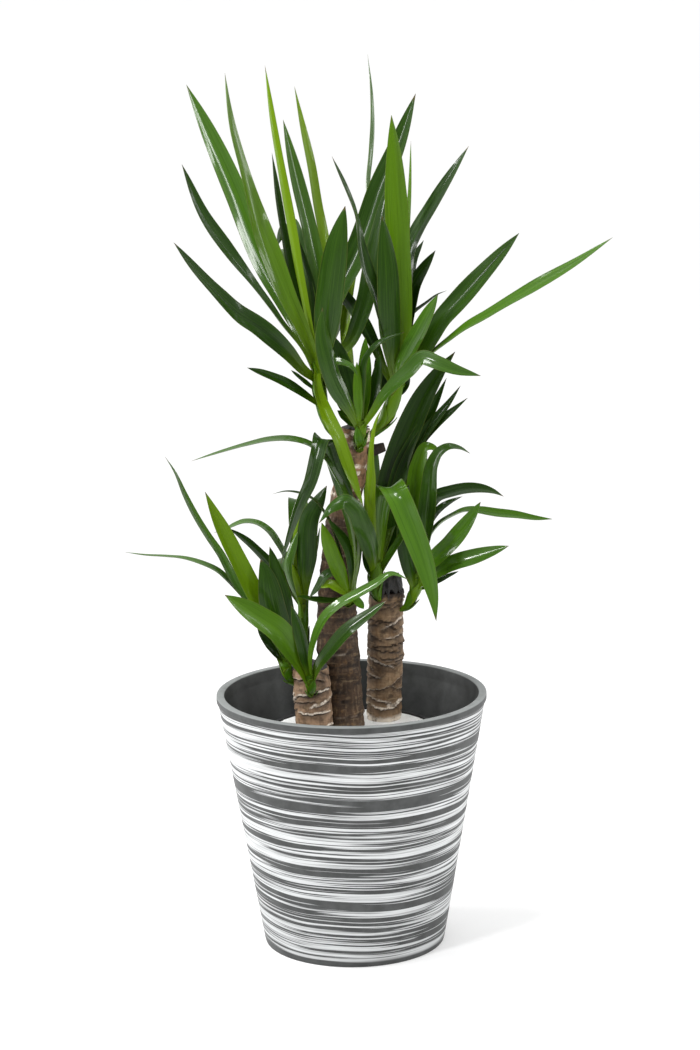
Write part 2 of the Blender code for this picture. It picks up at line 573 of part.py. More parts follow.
def cap_lift(cane):
    """How far the sawn face, which is square to a leaning cane, rises above its centre at the cap's edge."""
    axis, radii, _ = CANES[cane]
    lean = place(axis[-1]) - place(axis[-2])
    return radii[-1] * MM * Vector((lean.x, lean.y)).length / lean.z


def blade_shape(path, width, rolls):
    """A channelled blade along the path, faced to EYE and then rolled about its own length."""
    count = len(path) - 1
    tangents = tangents_of(path)
    faces = leaf_frames(path, tangents, rolls)
    up_side = 1.0 if faces[round(count * 0.5)][1][2] >= 0 else -1.0
    lengths = np.concatenate([[0.0], np.cumsum(np.linalg.norm(np.diff(path, axis=0), axis=1))])
    rings = []
    for i in range(count):
        across, normal = faces[i]
        along = lengths[i] / lengths[-1]
        half = 0.5 * width * blade_width(along)
        lift = LEAF_CHANNEL * 2 * half * up_side
        thick = 0.5 * LEAF_THICKNESS
        spine = path[i] - CHANNEL_SINK * lift * normal
        rings.append([
            spine + half * across + lift * normal,
            spine + thick * normal,
            spine - half * across + lift * normal,
            spine - thick * normal,
        ])
    return loft(rings, tip=path[-1])


def blade_width(along):
    """Share of the full width at a share of the length: a clasping root, a full middle and a sharp tip."""
    if along < LEAF_WIDEST:
        ease = along / LEAF_WIDEST
        return LEAF_ROOT_WIDTH + (1 - LEAF_ROOT_WIDTH) * ease * ease * (3 - 2 * ease)
    return 1 - ((along - LEAF_WIDEST) / (1 - LEAF_WIDEST)) ** LEAF_FULLNESS


def leaf_frames(path, tangents, rolls):
    """(across, normal) at each point. A positive roll turns the seen face upwards."""
    eye = np.array(EYE)
    across = None
    facing = []
    for point, tangent in zip(path, tangents):
        view = (point - eye) / np.linalg.norm(point - eye)
        flat = np.cross(tangent, view)
        strength = np.linalg.norm(flat)
        if across is None:
            across = flat / strength
        else:
            carried = across - tangent * np.dot(across, tangent)
            carried /= np.linalg.norm(carried)
            if np.dot(flat, carried) < 0:
                flat = -flat
            trust = np.clip((strength - 0.3) / 0.4, 0, 1)
            across = carried * (1 - trust) + trust * flat / max(strength, 1e-6)
            across -= tangent * np.dot(across, tangent)
            across /= np.linalg.norm(across)
        facing.append(across)
    middle = facing[round(len(facing) * 0.5)]
    upward = -1.0 if middle[2] > 0 else 1.0
    turns = np.radians(spread(rolls, len(path) - 1)) * upward
    frames = []
    for flat, tangent, turn in zip(facing, tangents, turns):
        normal = np.cross(tangent, flat)
        frames.append((np.cos(turn) * flat + np.sin(turn) * normal,
                       np.cos(turn) * normal - np.sin(turn) * flat))
    return frames


def far_blades(shoot, seed):
    """Blades on the far side of a shoot: (heading from straight back, reach, rise) and a drawn width."""
    draw = np.random.default_rng(seed)
    root = place(shoot["stem"][-1])
    made = []
    for heading, reach, rise in shoot["far"]:
        turn = np.radians(heading)
        out = Vector((np.sin(turn), np.cos(turn), 0.0)) * reach * MM
        climb = Vector((0, 0, rise * MM))
        base = root - Vector((0, 0, draw.uniform(0.006, 0.020)))
        points = [base, base + out * 0.3 + climb * 0.62, base + out * 0.66 + climb, base + out + climb * 0.8]
        made.append((points, draw.uniform(0.024, 0.032)))
    return made


def rooted(points, stem, radii):
    """The blade's points, with the first one drawn in to lie well inside the stem."""
    root = np.array(points[0])
    nearest = int(np.argmin(np.linalg.norm(stem - root, axis=1)))
    inward = root - stem[nearest]
    reach = np.linalg.norm(inward)
    sunk = stem[nearest] + inward * min(1.0, ROOT_DEPTH * radii[nearest] / max(reach, 1e-6))
    return [Vector(sunk), *points[1:]]


def build_shoot(name, seed, finish):
    shoot = SHOOTS[name]
    stem = smooth_path([place(station) for station in shoot["stem"]], STEM_SEGMENTS)
    radii = spread([radius * MM for radius in shoot["radii"]], STEM_SEGMENTS)
    group = bpy.data.collections.new(f"{name}_blades")
    bpy.context.scene.collection.children.link(group)

    def add(shape):
        obj = from_bmesh("blade", shape)
        bpy.context.scene.collection.objects.unlink(obj)
        group.objects.link(obj)

    for entry in shoot["leaves"]:
        segments = max(SHORT_LEAF_SEGMENTS, min(LEAF_SEGMENTS, len(entry["stations"]) - 1))
        points = rooted([place(station) for station in entry["stations"]], stem, radii)
        add(blade_shape(smooth_path(points, segments, BEND_REACH), entry["width"], entry["roll"]))
    for points, width in far_blades(shoot, seed):
        add(blade_shape(smooth_path(rooted(points, stem, radii), FAR_SEGMENTS), width, (0, 0)))
    obj = from_bmesh(name, loft(tube_rings(stem, radii, STEM_SIDES)), finish)
    apply_boolean(obj, "UNION", group)
    cutter = from_bmesh("cane_cutter", cane_shape(shoot["cane"], GAP))
    apply_boolean(obj, "DIFFERENCE", cutter)
    keep_outer_skin(obj)
    obj.data.shade_smooth()
    obj.data.set_sharp_from_angle(angle=np.radians(35))
    return obj


def build_planter():
    body_top = PLANTER_HEIGHT - PLANTER_LIP_HEIGHT
    inner_lip_r = PLANTER_LIP_R - PLANTER_LIP_WIDTH
    inner_foot_r = PLANTER_FOOT_R - PLANTER_WALL
    edge = 0.0015
    profile = [
        (0, 0), (PLANTER_FOOT_R - 3 * edge, 0), (PLANTER_FOOT_R - edge, edge), (PLANTER_FOOT_R, 4 * edge),
        (PLANTER_BODY_TOP_R, body_top), (PLANTER_LIP_R, body_top + 0.4 * edge),
        (PLANTER_LIP_R, PLANTER_HEIGHT - edge), (PLANTER_LIP_R - edge, PLANTER_HEIGHT),
        (inner_lip_r + edge, PLANTER_HEIGHT), (inner_lip_r, PLANTER_HEIGHT - edge),
        (inner_lip_r - edge, body_top - PLANTER_LIP_HEIGHT), (inner_foot_r, PLANTER_FLOOR + 3 * edge),
        (inner_foot_r - 3 * edge, PLANTER_FLOOR), (0, PLANTER_FLOOR),
    ]
    return turned("planter", profile, PLANTER_SIDES, material("planter_plastic", CHARCOAL, 0.45))


def pot_inner_radius(height):
    low = PLANTER_FLOOR + GAP
    share = (height - low) / (POT_TOP - low)
    return POT_FOOT_R + (POT_TOP_R - POT_FOOT_R) * share - POT_WALL


def build_grow_pot():
    low = PLANTER_FLOOR + GAP
    rim_drop = 0.012
    profile = [
        (0, low), (POT_FOOT_R, low), (POT_TOP_R, POT_TOP - rim_drop), (POT_RIM_R, POT_TOP - rim_drop),
        (POT_RIM_R, POT_TOP), (pot_inner_radius(POT_TOP), POT_TOP),
        (pot_inner_radius(low + POT_WALL), low + POT_WALL), (0, low + POT_WALL),
    ]
    pot = turned("grow_pot", profile, POT_SIDES, material("nursery_plastic", NURSERY_BLACK, 0.6))
    for i in range(DRAIN_HOLES):
        turn = 2 * np.pi * i / DRAIN_HOLES
        spot = (DRAIN_CIRCLE_R * np.cos(turn), DRAIN_CIRCLE_R * np.sin(turn), low)
        hole = bmesh.new()
        bmesh.ops.create_cone(hole, cap_ends=True, segments=8, radius1=DRAIN_HOLE_R, radius2=DRAIN_HOLE_R,
                              depth=0.02, matrix=Matrix.Translation(spot))
        apply_boolean(pot, "DIFFERENCE", from_bmesh("drain_cutter", hole))
    return pot


def socket_cutter(cane):
    """A plain round hole for the buried end of a cane, open upwards."""
    heights = (BURIED_BOTTOM - GAP, PLANTER_HEIGHT)
    return from_bmesh("socket_cutter", loft([foot_ring(cane, GAP, height) for height in heights]))


def build_soil():
    low = PLANTER_FLOOR + POT_WALL + 2 * GAP
    top = DRESSING_TOP - DRESSING_THICKNESS - GAP
    profile = [(0, low), (pot_inner_radius(low) - GAP, low), (pot_inner_radius(top) - GAP, top), (0, top)]
    soil = turned("soil", profile, POT_SIDES, material("potting_soil", EARTH, 0.95))
    for cane in CANES:
        apply_boolean(soil, "DIFFERENCE", socket_cutter(cane))
    return soil


def build_dressing():
    low = DRESSING_TOP - DRESSING_THICKNESS
    radius = pot_inner_radius(low) - 2 * GAP
    profile = [(0, low), (radius, low), (radius, DRESSING_TOP - GAP), (0, DRESSING_TOP - GAP)]
    dressing = turned("white_dressing", profile, POT_SIDES, material("white_chalk", CHALK, 0.8))
    for cane in CANES:
        apply_boolean(dressing, "DIFFERENCE", socket_cutter(cane))
    return dressing


def main():
    clear_scene()
    build_planter()
    build_grow_pot()
    build_soil()
    build_dressing()
    barks = {
        "tall": material("bark_dark", BARK_DARK, 0.9),
        "mid": material("bark_pale", BARK_PALE, 0.85),
        "short": material("bark_short", BARK_PALE, 0.85),
    }
    seal = material("cane_seal", SEAL, 0.5)
    for cane, bark in barks.items():
        build_cane(cane, bark)
    build_cap("tall", seal, 0.004, 0.7)
    build_cap("mid", seal, 0.018, 0.9)
    build_cap("short", seal, 0.008, 0.88)
    for number, name in enumerate(SHOOTS):
        green = material(f"{name}_green", LEAF_GREEN, 0.35)
        build_shoot(name, FAR_SEED + number, green)


main()
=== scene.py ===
"""Dresses the potted yucca: fine leaf blades, ringed bark, cane seals, the streaked planter and the studio.

Units are metres, with +Z up. The leaf table holds millimetres, in the way that place() explains.
"""

import json
import math
from contextlib import contextmanager

import bmesh
import bpy
import numpy as np
from bpy.props import FloatProperty, FloatVectorProperty, PointerProperty
from mathutils import Matrix, Vector, noise

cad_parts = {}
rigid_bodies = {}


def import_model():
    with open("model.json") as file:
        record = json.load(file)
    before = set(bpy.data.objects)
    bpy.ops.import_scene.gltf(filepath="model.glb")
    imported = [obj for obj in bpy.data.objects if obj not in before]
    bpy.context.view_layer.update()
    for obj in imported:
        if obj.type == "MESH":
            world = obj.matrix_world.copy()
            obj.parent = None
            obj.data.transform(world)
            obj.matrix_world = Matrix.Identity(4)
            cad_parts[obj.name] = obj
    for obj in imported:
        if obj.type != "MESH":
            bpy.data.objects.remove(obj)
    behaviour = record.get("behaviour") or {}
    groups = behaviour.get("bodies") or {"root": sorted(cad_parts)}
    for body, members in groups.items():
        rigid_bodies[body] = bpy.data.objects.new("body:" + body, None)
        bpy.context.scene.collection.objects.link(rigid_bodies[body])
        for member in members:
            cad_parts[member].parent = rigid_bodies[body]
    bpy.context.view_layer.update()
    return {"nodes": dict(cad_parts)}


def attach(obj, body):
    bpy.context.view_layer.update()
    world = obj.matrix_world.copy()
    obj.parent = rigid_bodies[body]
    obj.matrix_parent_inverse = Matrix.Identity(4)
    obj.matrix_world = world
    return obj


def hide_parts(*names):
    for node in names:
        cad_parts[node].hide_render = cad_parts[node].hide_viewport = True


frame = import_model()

bl_info = {
    "name": "Potted yucca",
    "version": (1, 0, 0),
    "blender": (4, 5, 0),
    "location": "3D View > Sidebar > Yucca",
    "description": "Builds the leaves, bark, planter finish and studio of a potted yucca",
    "category": "Object",
}

BODY = "root"
MM = 0.001
TINY = 1e-6
CURVE_STEPS = 16
PHOTO_HEIGHT = 1050

# The camera that the photograph was taken with, worked out from the planter's outline
CAMERA_FOCUS_PX = 2578
CAMERA_PLACE = (0.0013, -3.5146, 1.2911)
CAMERA_DIP = 0.1942
CAMERA_ROLL = -0.0144

# Point that the leaf table is seen from
EYE = Vector((0.001, -3.515, 1.291))

# Planter
PLANTER_SIDES = 192
PLANTER_HEIGHT = 0.361
PLANTER_FOOT_R = 0.129
PLANTER_BODY_TOP_R = 0.188
PLANTER_LIP_R = 0.190
PLANTER_LIP_HEIGHT = 0.009
PLANTER_BODY_TOP = PLANTER_HEIGHT - PLANTER_LIP_HEIGHT
PLANTER_LIP_WIDTH = 0.011
PLANTER_WALL = 0.012
PLANTER_FLOOR = 0.010
PLANTER_CHAMFER = 0.0015
PLANTER_FOOT_RISE = 0.006
PLANTER_LIP_SEAM = 0.0006
# The circle that the planter is raised from. Its own face closes it.
PLANTER_CENTRE_R = 0.002
# The largest share of an edge that a rounded corner takes up
CORNER_SHARE = 0.45

# Streaks: wide, narrow and hair-thin ones, and the level of the noise that bares the ground
STREAKS_PER_M = (135, 420, 900)
STREAK_LEVEL = 0.5
TURNING_LINES_PER_M = 2400

# Top of the white layer, and the lowest bark in the soil
DRESSING_TOP = 0.304
BURIED_BOTTOM = 0.176

# Canes: axis stations in millimetres as (across, depth, up), with the bark's radius at each. cap is the
# rise of the seal and its share of the cane's radius.
CANES = {
    "tall": {
        "axis": [(-11, 10, 304), (-15, 10, 380), (-19, 10, 455), (-17, 10, 520), (-13, 10, 575),
                 (-5, 10, 632), (7, 10, 686), (11, 10, 736)],
        "radii": (29, 29, 29, 27, 24, 22, 20, 20),
        "cap": (0.004, 0.7), "seed": 3, "slot": "bark_dark",
        "scar_gap": 0.018, "slant": 0.4, "fibre": 1.0, "whiteness": 0.35,
    },
    "mid": {
        "axis": [(45, 68, 304), (46, 65, 350), (48, 60, 410), (49, 54, 460), (51, 48, 508)],
        "radii": (24, 24.5, 25, 24.5, 24),
        "cap": (0.018, 0.9), "seed": 5, "slot": "bark_pale",
        "scar_gap": 0.012, "slant": 1.1, "fibre": 0.12, "whiteness": 1.3,
    },
    "short": {
        "axis": [(-53, -30, 304), (-54, -30, 335), (-55, -30, 365), (-57, -30, 396)],
        "radii": (25, 26, 26, 25),
        "cap": (0.008, 0.88), "seed": 8, "slot": "bark_short",
        "scar_gap": 0.018, "slant": 1.0, "fibre": 0.12, "whiteness": 1.6,
    },
}
STUB = [(16, 10, 699), (33, 10, 704), (51, 10, 709)]
STUB_R = 0.009
STUB_RINGS = 24
STUB_RELIEF = 0.0007
BARK_SIDES = 96
BARK_RING_STEP = 0.0011
BURIED_RINGS = 24
BARK_LUMPS_PER_M = 55
BARK_FIBRES_PER_M = 60
BARK_SINK = 0.0004
FOOT_BLEND = 0.006
CAP_SIDES = 64
CAP_RIM = 0.35

# Leaf scars: arcs in a ring, what each arc draws its size from, and bands as (height above it, width)
SCAR_ARCS = 3
SCAR_REACH = (1.0, 1.8)
SCAR_LIFT = (0.0009, 0.0023)
SCAR_SPACING = (0.6, 1.3)
SCAR_RUN_OUT = 0.35
SCAR_RAGGED = 0.0024
SCAR_FADE = 0.006
SCAR_UNDERCUT = (-0.0012, 0.0012)
SCAR_RIM = (0.0014, 0.0015)
# The groove and shade bands are painted shade: in the recess under each scar, and fainter below it
SCAR_GROOVE_SHADE = (-0.0012, 0.0017)
SCAR_SHADE = (-0.003, 0.005)
# Where young and torn bark begin on the tallest cane, and over how much height they come in
YOUNG_BARK = (0.60, 0.06)
TORN_BARK = (0.716, 0.008)

CHAR_DEPTH = 0.012
CHAR_BLEND = 0.006
FOOT_SEARCH_STEPS = 60

# Leaf blades. A sheath is the pointed foot of an old leaf that clasps the stem.
LEAF_SEGMENTS = 9
SHORT_LEAF_SEGMENTS = 5
BEND_REACH = 0.04
LEAF_CHANNEL = 0.16
CHANNEL_SHAPE = 1.35
CHANNEL_SINK = 0.7
RIB_TURN = 9.4
RIBBED_HALF = 0.012
LEAF_WAVER = 0.05
# How squarely a blade has to face the eye before its direction is read there
FACING_TRUST = (0.3, 0.4)

LEAF_ROOT_WIDTH = 0.42
LEAF_WIDEST = 0.42
LEAF_FULLNESS = 3.2
LEAF_TIP_WIDTH = 0.012
BLADE_CELLS_ALONG = 44
BLADE_CELLS_ACROSS = 8
STEM_SEGMENTS = 6
STEM_SIDES = 32
STEM_FINE_STEPS = 72
STEM_FOOT = 0.15
STEM_FOOT_REACH = 0.7
STEM_RING = 0.0012
STEM_SINK = 0.0010
SHEATHS = 6
SHEATH_TURN = 2.4
SHEATH_SPAN = 0.8
SHEATH_REACH = 0.5
SHEATH_WRAP = 1.8
SHEATH_LIFT = 0.0002
SHEATH_SINK = 0.0012
SHEATH_FLARE = 0.0022
SHEATH_TINT = (0.08, 0.5)
ROOT_DEPTH = 0.5
FAR_SEED = 11
FAR_SEGMENTS = 5
# Far blades are dark green, partly as painted shade deep inside the shoot
FAR_LOOK = (0.2, 0.1)
FAR_WIDTH = (0.024, 0.032)
FAR_ROOT_DROP = (0.006, 0.020)
# Shares of the reach and of the rise along a far blade
FAR_ROUTE = ((0, 0), (0.3, 0.62), (0.66, 1), (1, 0.8))

# Studio
SWEEP_FLOOR = (14, 11)
SWEEP_RISE = 6
SWEEP_COVE = 1.8
LAMP_AIM = (0, 0, 0.65)


def leaf(width, look, roll, *stations):
    """A blade: full width in mm, (tone, sheen), roll in degrees at even steps from root to tip, stations.

    tone runs from 0, dark green, to 1, lime, and a low tone is partly painted shade. sheen runs from 0, matt,
    to 1, glossy, and adds a little painted sheen.
    """
    return {"width": width * MM, "look": look, "roll": roll, "stations": stations}


SHOOTS = {
    "shoot_tall_left": {
        "stem": [(2, 2, 706), (-26, -4, 738), (-37, -4, 785), (-41, -2, 830)],
        "radii": (9, 9, 8.5, 7),
        "far": [(-14, 250, 150), (-4, 300, 95), (9, 240, 50), (-22, 150, 190), (3, 270, 10)],
        "leaves": [
            leaf(33, (0.5, 0.75), (12, 10, 12), (-38, 2, 812), (-62, 14, 868), (-85, 22, 915),
                 (-108, 28, 960), (-147, 36, 1060), (-185, 42, 1150), (-210, 46, 1206)),
            leaf(34, (0.75, 0.2), (10, 25, 66, 78), (-40, -2, 822), (-62, -10, 880), (-80, -16, 920),
                 (-95, -22, 960), (-113, -28, 1010), (-134, -36, 1085), (-150, -42, 1150),
                 (-158, -46, 1221)),
            leaf(24, (0.1, 0.1), (60, 80, 40, 25), (-40, -6, 805), (-62, -18, 850), (-85, -30, 880),
                 (-104, -40, 908), (-127, -50, 940), (-160, -64, 985), (-190, -76, 1030),
                 (-219, -88, 1100)),
            leaf(28, (0.1, 0.1), (20, 10, 50, 50), (-42, -8, 795), (-60, -24, 818), (-80, -40, 842),
                 (-100, -54, 862), (-122, -66, 880), (-146, -78, 896), (-172, -90, 922), (-206, -104, 960),
                 (-233, -114, 995)),
            leaf(16, (0.1, 0), (40, 40), (-36, -4, 768), (-60, -20, 785), (-85, -34, 801), (-112, -46, 813),
                 (-137, -56, 822)),
            leaf(9, (0.1, 0), (50, 50), (-38, 0, 785), (-56, -2, 800), (-77, -4, 818)),
            leaf(17, (1, 0), (-30, -45, -50), (-40, -2, 826), (-50, 0, 880), (-57, 2, 920), (-64, 4, 960),
                 (-70, 5, 1000), (-83, 6, 1080), (-94, 7, 1150), (-104, 8, 1230)),
            leaf(24, (0.4, 0.5), (25, 25), (-36, 2, 824), (-33, 12, 880), (-38, 26, 955), (-46, 34, 1000),
                 (-64, 44, 1080), (-73, 48, 1120), (-81, 52, 1158)),
            leaf(18, (1, 0), (40, 45), (-34, 4, 826), (-27, 18, 880), (-25, 34, 955), (-29, 46, 1000),
                 (-36, 56, 1040), (-44, 66, 1095), (-57, 76, 1160), (-65, 82, 1202)),
            leaf(18, (0.15, 0), (50, 55), (-40, 4, 822), (-52, 14, 870), (-66, 22, 920), (-75, 28, 960),
                 (-82, 32, 1000), (-88, 36, 1040), (-93, 40, 1080), (-97, 44, 1114)),
            leaf(38, (0.2, 0.1), (15, 10, 15), (-36, -8, 808), (-31, -20, 850), (-26, -32, 890),
                 (-20, -42, 935), (-12, -52, 985), (1, -58, 1041)),
            leaf(22, (0.95, 0), (35, 35, 40), (-40, -4, 828), (-40, -22, 795), (-29, -36, 757),
                 (-14, -42, 725), (-5, -42, 698), (5, -40, 668), (20, -36, 626)),
            leaf(10, (0.1, 0), (30, 30), (-40, 2, 828), (-43, 10, 880), (-46, 16, 935), (-54, 20, 965),
                 (-62, 24, 995)),
            leaf(14, (0.3, 0.5), (50, 50), (-38, -8, 820), (-26, -28, 829), (-8, -36, 828), (6, -40, 822),
                 (15, -42, 809)),
            leaf(34, (0.15, 0.1), (20, 20), (-34, 4, 828), (-28, 22, 868), (-18, 38, 905), (-6, 46, 935),
                 (8, 50, 962), (28, 60, 1008), (48, 68, 1065), (72, 76, 1120), (98, 84, 1190)),
            leaf(28, (0.15, 0.5), (30, 25), (-36, 2, 824), (-13, 8, 838), (4, 11, 854), (16, 11, 880),
                 (27, 12, 912), (35, 15, 950), (43, 20, 990), (51, 26, 1030), (60, 34, 1072)),
        ],
    },
    "shoot_tall_right": {
        "stem": [(14, 12, 714), (38, 16, 732), (53, 14, 748), (63, 12, 776), (74, 12, 812)],
        "radii": (8, 9, 11, 9, 7),
        "far": [(2, 260, 160), (-8, 300, 100), (8, 220, 60), (-4, 170, 250), (5, 280, 20)],
        "leaves": [
            leaf(34, (0.75, 0), (12, 12), (74, 8, 806), (79, 2, 850), (78, -2, 890), (75, -4, 930),
                 (73, -5, 970), (72, -6, 1010), (70, -7, 1055), (68, -9, 1110), (65, -12, 1162)),
            leaf(32, (0.15, 0), (15, 15), (66, 4, 800), (62, -10, 845), (60, -20, 880), (59, -28, 915),
                 (58, -34, 950), (55, -38, 990), (51, -40, 1027)),
            leaf(16, (0.4, 0.4), (50, 60, 78, 60, 75), (74, 18, 808), (64, 50, 880), (50, 80, 950),
                 (38, 105, 1010), (32, 120, 1070), (36, 130, 1110), (39, 138, 1155), (38, 144, 1200),
                 (34, 150, 1243)),
            leaf(20, (0.1, 0.1), (50, 60, 35, 80, 50), (68, 4, 800), (58, -8, 845), (46, -22, 895),
                 (40, -28, 925), (31, -34, 952), (22, -38, 988), (16, -38, 1030), (4, -34, 1062),
                 (-16, -30, 1108)),
            leaf(12, (0.75, 0), (60, 60), (76, 14, 810), (84, 26, 880), (86, 32, 950), (86, 36, 1010),
                 (89, 38, 1060), (91, 40, 1127)),
            leaf(24, (0.1, 0.4), (35, 35), (76, 16, 812), (80, 34, 880), (82, 46, 935), (88, 54, 985),
                 (100, 60, 1010), (116, 66, 1036), (132, 72, 1062), (150, 76, 1090), (169, 80, 1119)),
            leaf(22, (0.1, 0), (30, 30), (76, 18, 810), (80, 46, 870), (84, 66, 925), (92, 80, 965),
                 (107, 92, 993)),
            leaf(26, (0.1, 0), (30, 30), (76, 14, 806), (78, 26, 850), (84, 38, 895), (93, 48, 932),
                 (108, 56, 957), (123, 62, 979)),
            leaf(30, (0.15, 0.1), (50, 35, 25, 30), (76, 6, 800), (92, 0, 822), (106, -4, 840),
                 (118, -8, 862), (132, -10, 886), (150, -12, 906), (170, -14, 928), (195, -16, 955),
                 (218, -18, 980), (237, -20, 1001)),
            leaf(22, (0.5, 0.1), (75, 70, 45, 45), (76, 4, 796), (96, -6, 822), (116, -14, 839),
                 (140, -22, 857), (163, -30, 874), (190, -38, 889), (220, -46, 907), (262, -56, 931),
                 (310, -64, 958), (364, -70, 993)),
            leaf(24, (0.5, 0.9), (25, 25), (64, -2, 788), (74, -10, 822), (86, -18, 847), (99, -26, 870),
                 (112, -34, 894), (126, -40, 919)),
            leaf(10, (0.1, 0), (65, 65), (74, 16, 806), (80, 30, 850), (84, 42, 885), (95, 48, 897),
                 (110, 54, 908), (125, 60, 919), (138, 64, 924)),
            leaf(22, (0.1, 0), (35, 35), (64, 10, 788), (50, 16, 820), (40, 21, 846), (26, 30, 876),
                 (8, 46, 905), (-12, 64, 930), (-36, 76, 956), (-61, 84, 984)),
            leaf(17, (0.05, 0.3), (10, 10), (60, 16, 772), (51, 22, 795), (45, 25, 815), (40, 27, 834)),
            leaf(15, (0.05, 0), (20, 20), (70, 18, 780), (79, 26, 796), (85, 30, 812)),
        ],
    },
    "shoot_tall_front": {
        "stem": [(14, 8, 700), (17, -14, 716), (19, -18, 746)],
        "radii": (7, 9, 6),
        "far": [],
        "leaves": [
            leaf(27, (0.22, 0.2), (25, 25), (14, -18, 738), (2, -32, 764), (-15, -46, 795), (-26, -56, 828),
                 (-33, -62, 866), (-32, -64, 903)),
            leaf(14, (0.7, 0), (20, 20), (16, -20, 738), (15, -26, 780), (14, -30, 828)),
            leaf(20, (0.45, 0), (20, 20), (20, -14, 738), (24, -10, 795), (26, -8, 862)),
            leaf(38, (0.1, 0), (15, 15), (16, -10, 738), (4, -12, 766), (-4, -11, 798), (-12, -7, 836),
                 (-15, -5, 862)),
            leaf(22, (0.3, 0.55), (40, 40, 25, 10, 10), (22, -22, 738), (34, -30, 756), (48, -38, 778),
                 (66, -44, 798), (86, -48, 816), (103, -52, 832), (125, -62, 825), (150, -68, 815),
                 (184, -72, 806)),
            leaf(14, (0.1, 0), (30, 30), (12, -14, 736), (-1, -18, 750), (-14, -20, 761)),
            leaf(16, (1, 0), (25, 25), (16, -14, 742), (6, 6, 790), (3, 22, 828), (-1, 44, 880),
                 (6, 66, 925), (18, 80, 966)),
            leaf(12, (0.1, 0), (45, 45), (20, -14, 740), (21, -22, 795), (26, -30, 834), (42, -34, 853),
                 (60, -36, 862), (80, -36, 868)),
            leaf(18, (0.1, 0), (30, 30), (22, -12, 740), (36, -6, 780), (42, -4, 810), (46, -2, 838)),
        ],
    },
    "shoot_tall_low": {
        "stem": [(-8, 6, 484), (-2, -16, 494), (2, -22, 507)],
        "radii": (7, 8, 6),
        "far": [],
        "leaves": [
            leaf(22, (0.75, 0), (15, 15), (0, -20, 500), (-11, -32, 526), (-20, -42, 549), (-30, -50, 577),
                 (-38, -54, 604)),
            leaf(18, (0.1, 0), (35, 35), (2, -20, 504), (4, -28, 545), (-3, -32, 572), (-16, -34, 592),
                 (-29, -34, 609)),
            leaf(13, (0.45, 0), (25, 25), (3, -20, 504), (7, -24, 532), (12, -18, 561), (18, -12, 588)),
            leaf(16, (0.1, 0), (60, 60), (0, -20, 497), (-20, -30, 493), (-45, -38, 494), (-75, -44, 500)),
            leaf(16, (0.95, 0), (30, 30), (-2, -22, 500), (-16, -32, 511), (-30, -38, 516),
                 (-41, -42, 511)),
            leaf(16, (0.1, 0), (40, 40), (0, -20, 504), (-16, -26, 534), (-32, -32, 530), (-45, -36, 512),
                 (-57, -38, 497)),
            leaf(24, (0.15, 0.8), (20, 20, 20, 35, 45), (3, -20, 504), (8, -30, 560), (2, -32, 612),
                 (-8, -28, 652), (-20, -18, 692), (-29, -14, 716), (-36, -30, 724), (-43, -48, 700),
                 (-54, -56, 660), (-68, -60, 630), (-80, -62, 597), (-96, -62, 546)),
            leaf(20, (0.3, 0.8), (68, 68), (3, -22, 504), (10, -36, 570), (0, -40, 636), (-18, -38, 672),
                 (-35, -34, 700), (-52, -32, 714), (-78, -30, 722), (-108, -28, 722), (-138, -26, 716),
                 (-175, -24, 706), (-217, -22, 693)),
            leaf(10, (0.05, 0), (70, 70), (0, -18, 504), (-14, -26, 565), (-30, -30, 612), (-50, -34, 638),
                 (-70, -38, 647), (-88, -40, 649), (-106, -42, 645)),
            leaf(12, (0.45, 0), (20, 20), (4, -20, 498), (12, -26, 489), (19, -30, 480)),
        ],
    },
    "shoot_mid_front": {
        "stem": [(46, 38, 488), (37, 20, 500), (35, 13, 520), (37, 12, 550)],
        "radii": (7, 9, 9, 7),
        "far": [(4, 230, 110), (5, 250, 60), (-3, 190, 150), (0, 170, 10)],
        "leaves": [
            leaf(34, (0.65, 0.35), (30, 25, 10, 5, 5), (38, 14, 528), (42, 10, 580), (45, 6, 620),
                 (50, 0, 645), (58, -22, 656), (68, -42, 641), (84, -50, 602), (98, -54, 564),
                 (110, -56, 524), (117, -57, 490), (120, -58, 461)),
            leaf(18, (1, 0), (20, 15, 60, 60), (36, 12, 530), (32, 0, 575), (29, -10, 612), (29, -18, 640),
                 (31, -26, 668), (31, -32, 692), (33, -38, 718), (39, -44, 745), (47, -48, 762)),
            leaf(28, (0.2, 0.05), (30, 10, 20, 50), (34, 12, 532), (30, -34, 565), (18, -64, 600),
                 (8, -74, 622), (-6, -80, 633), (-22, -84, 626), (-42, -86, 603)),
            leaf(38, (0.14, 0.25), (15, 15), (42, 18, 528), (46, 44, 575), (52, 54, 622), (60, 60, 665),
                 (73, 64, 706), (88, 68, 742), (105, 70, 778), (128, 72, 814), (149, 74, 840)),
            leaf(8, (0.1, 0), (30, 30), (32, 10, 524), (24, 4, 540), (18, 0, 562)),
            leaf(14, (0.35, 0.5), (45, 45), (40, 10, 530), (58, 0, 560), (78, -4, 592), (90, -4, 618)),
            leaf(28, (0.15, 0), (25, 25), (42, 16, 530), (58, 30, 575), (72, 30, 622), (84, 30, 656)),
            leaf(20, (0.1, 0), (15, 15), (42, 16, 535), (56, 46, 620), (74, 58, 685), (98, 64, 728),
                 (116, 66, 760), (137, 68, 804)),
            leaf(18, (0.1, 0), (15, 15), (41, 16, 535), (60, 44, 620), (78, 54, 680), (100, 60, 720),
                 (122, 62, 748), (140, 64, 770), (156, 66, 793)),
            leaf(18, (0.1, 0), (20, 20), (41, 16, 532), (62, 40, 610), (80, 56, 672), (97, 62, 712),
                 (122, 64, 740), (145, 64, 759), (166, 64, 776)),
        ],
    },
    "shoot_mid_right": {
        "stem": [(62, 42, 476), (80, 36, 484), (90, 32, 504), (95, 30, 530)],
        "radii": (6, 8, 8, 6),
        "far": [(0, 230, 110), (1, 200, 50), (4, 240, 150), (-1, 170, 5)],
        "leaves": [
            leaf(26, (0.5, 0.5), (25, 25), (92, 28, 518), (104, 16, 536), (120, 8, 552), (137, 2, 568),
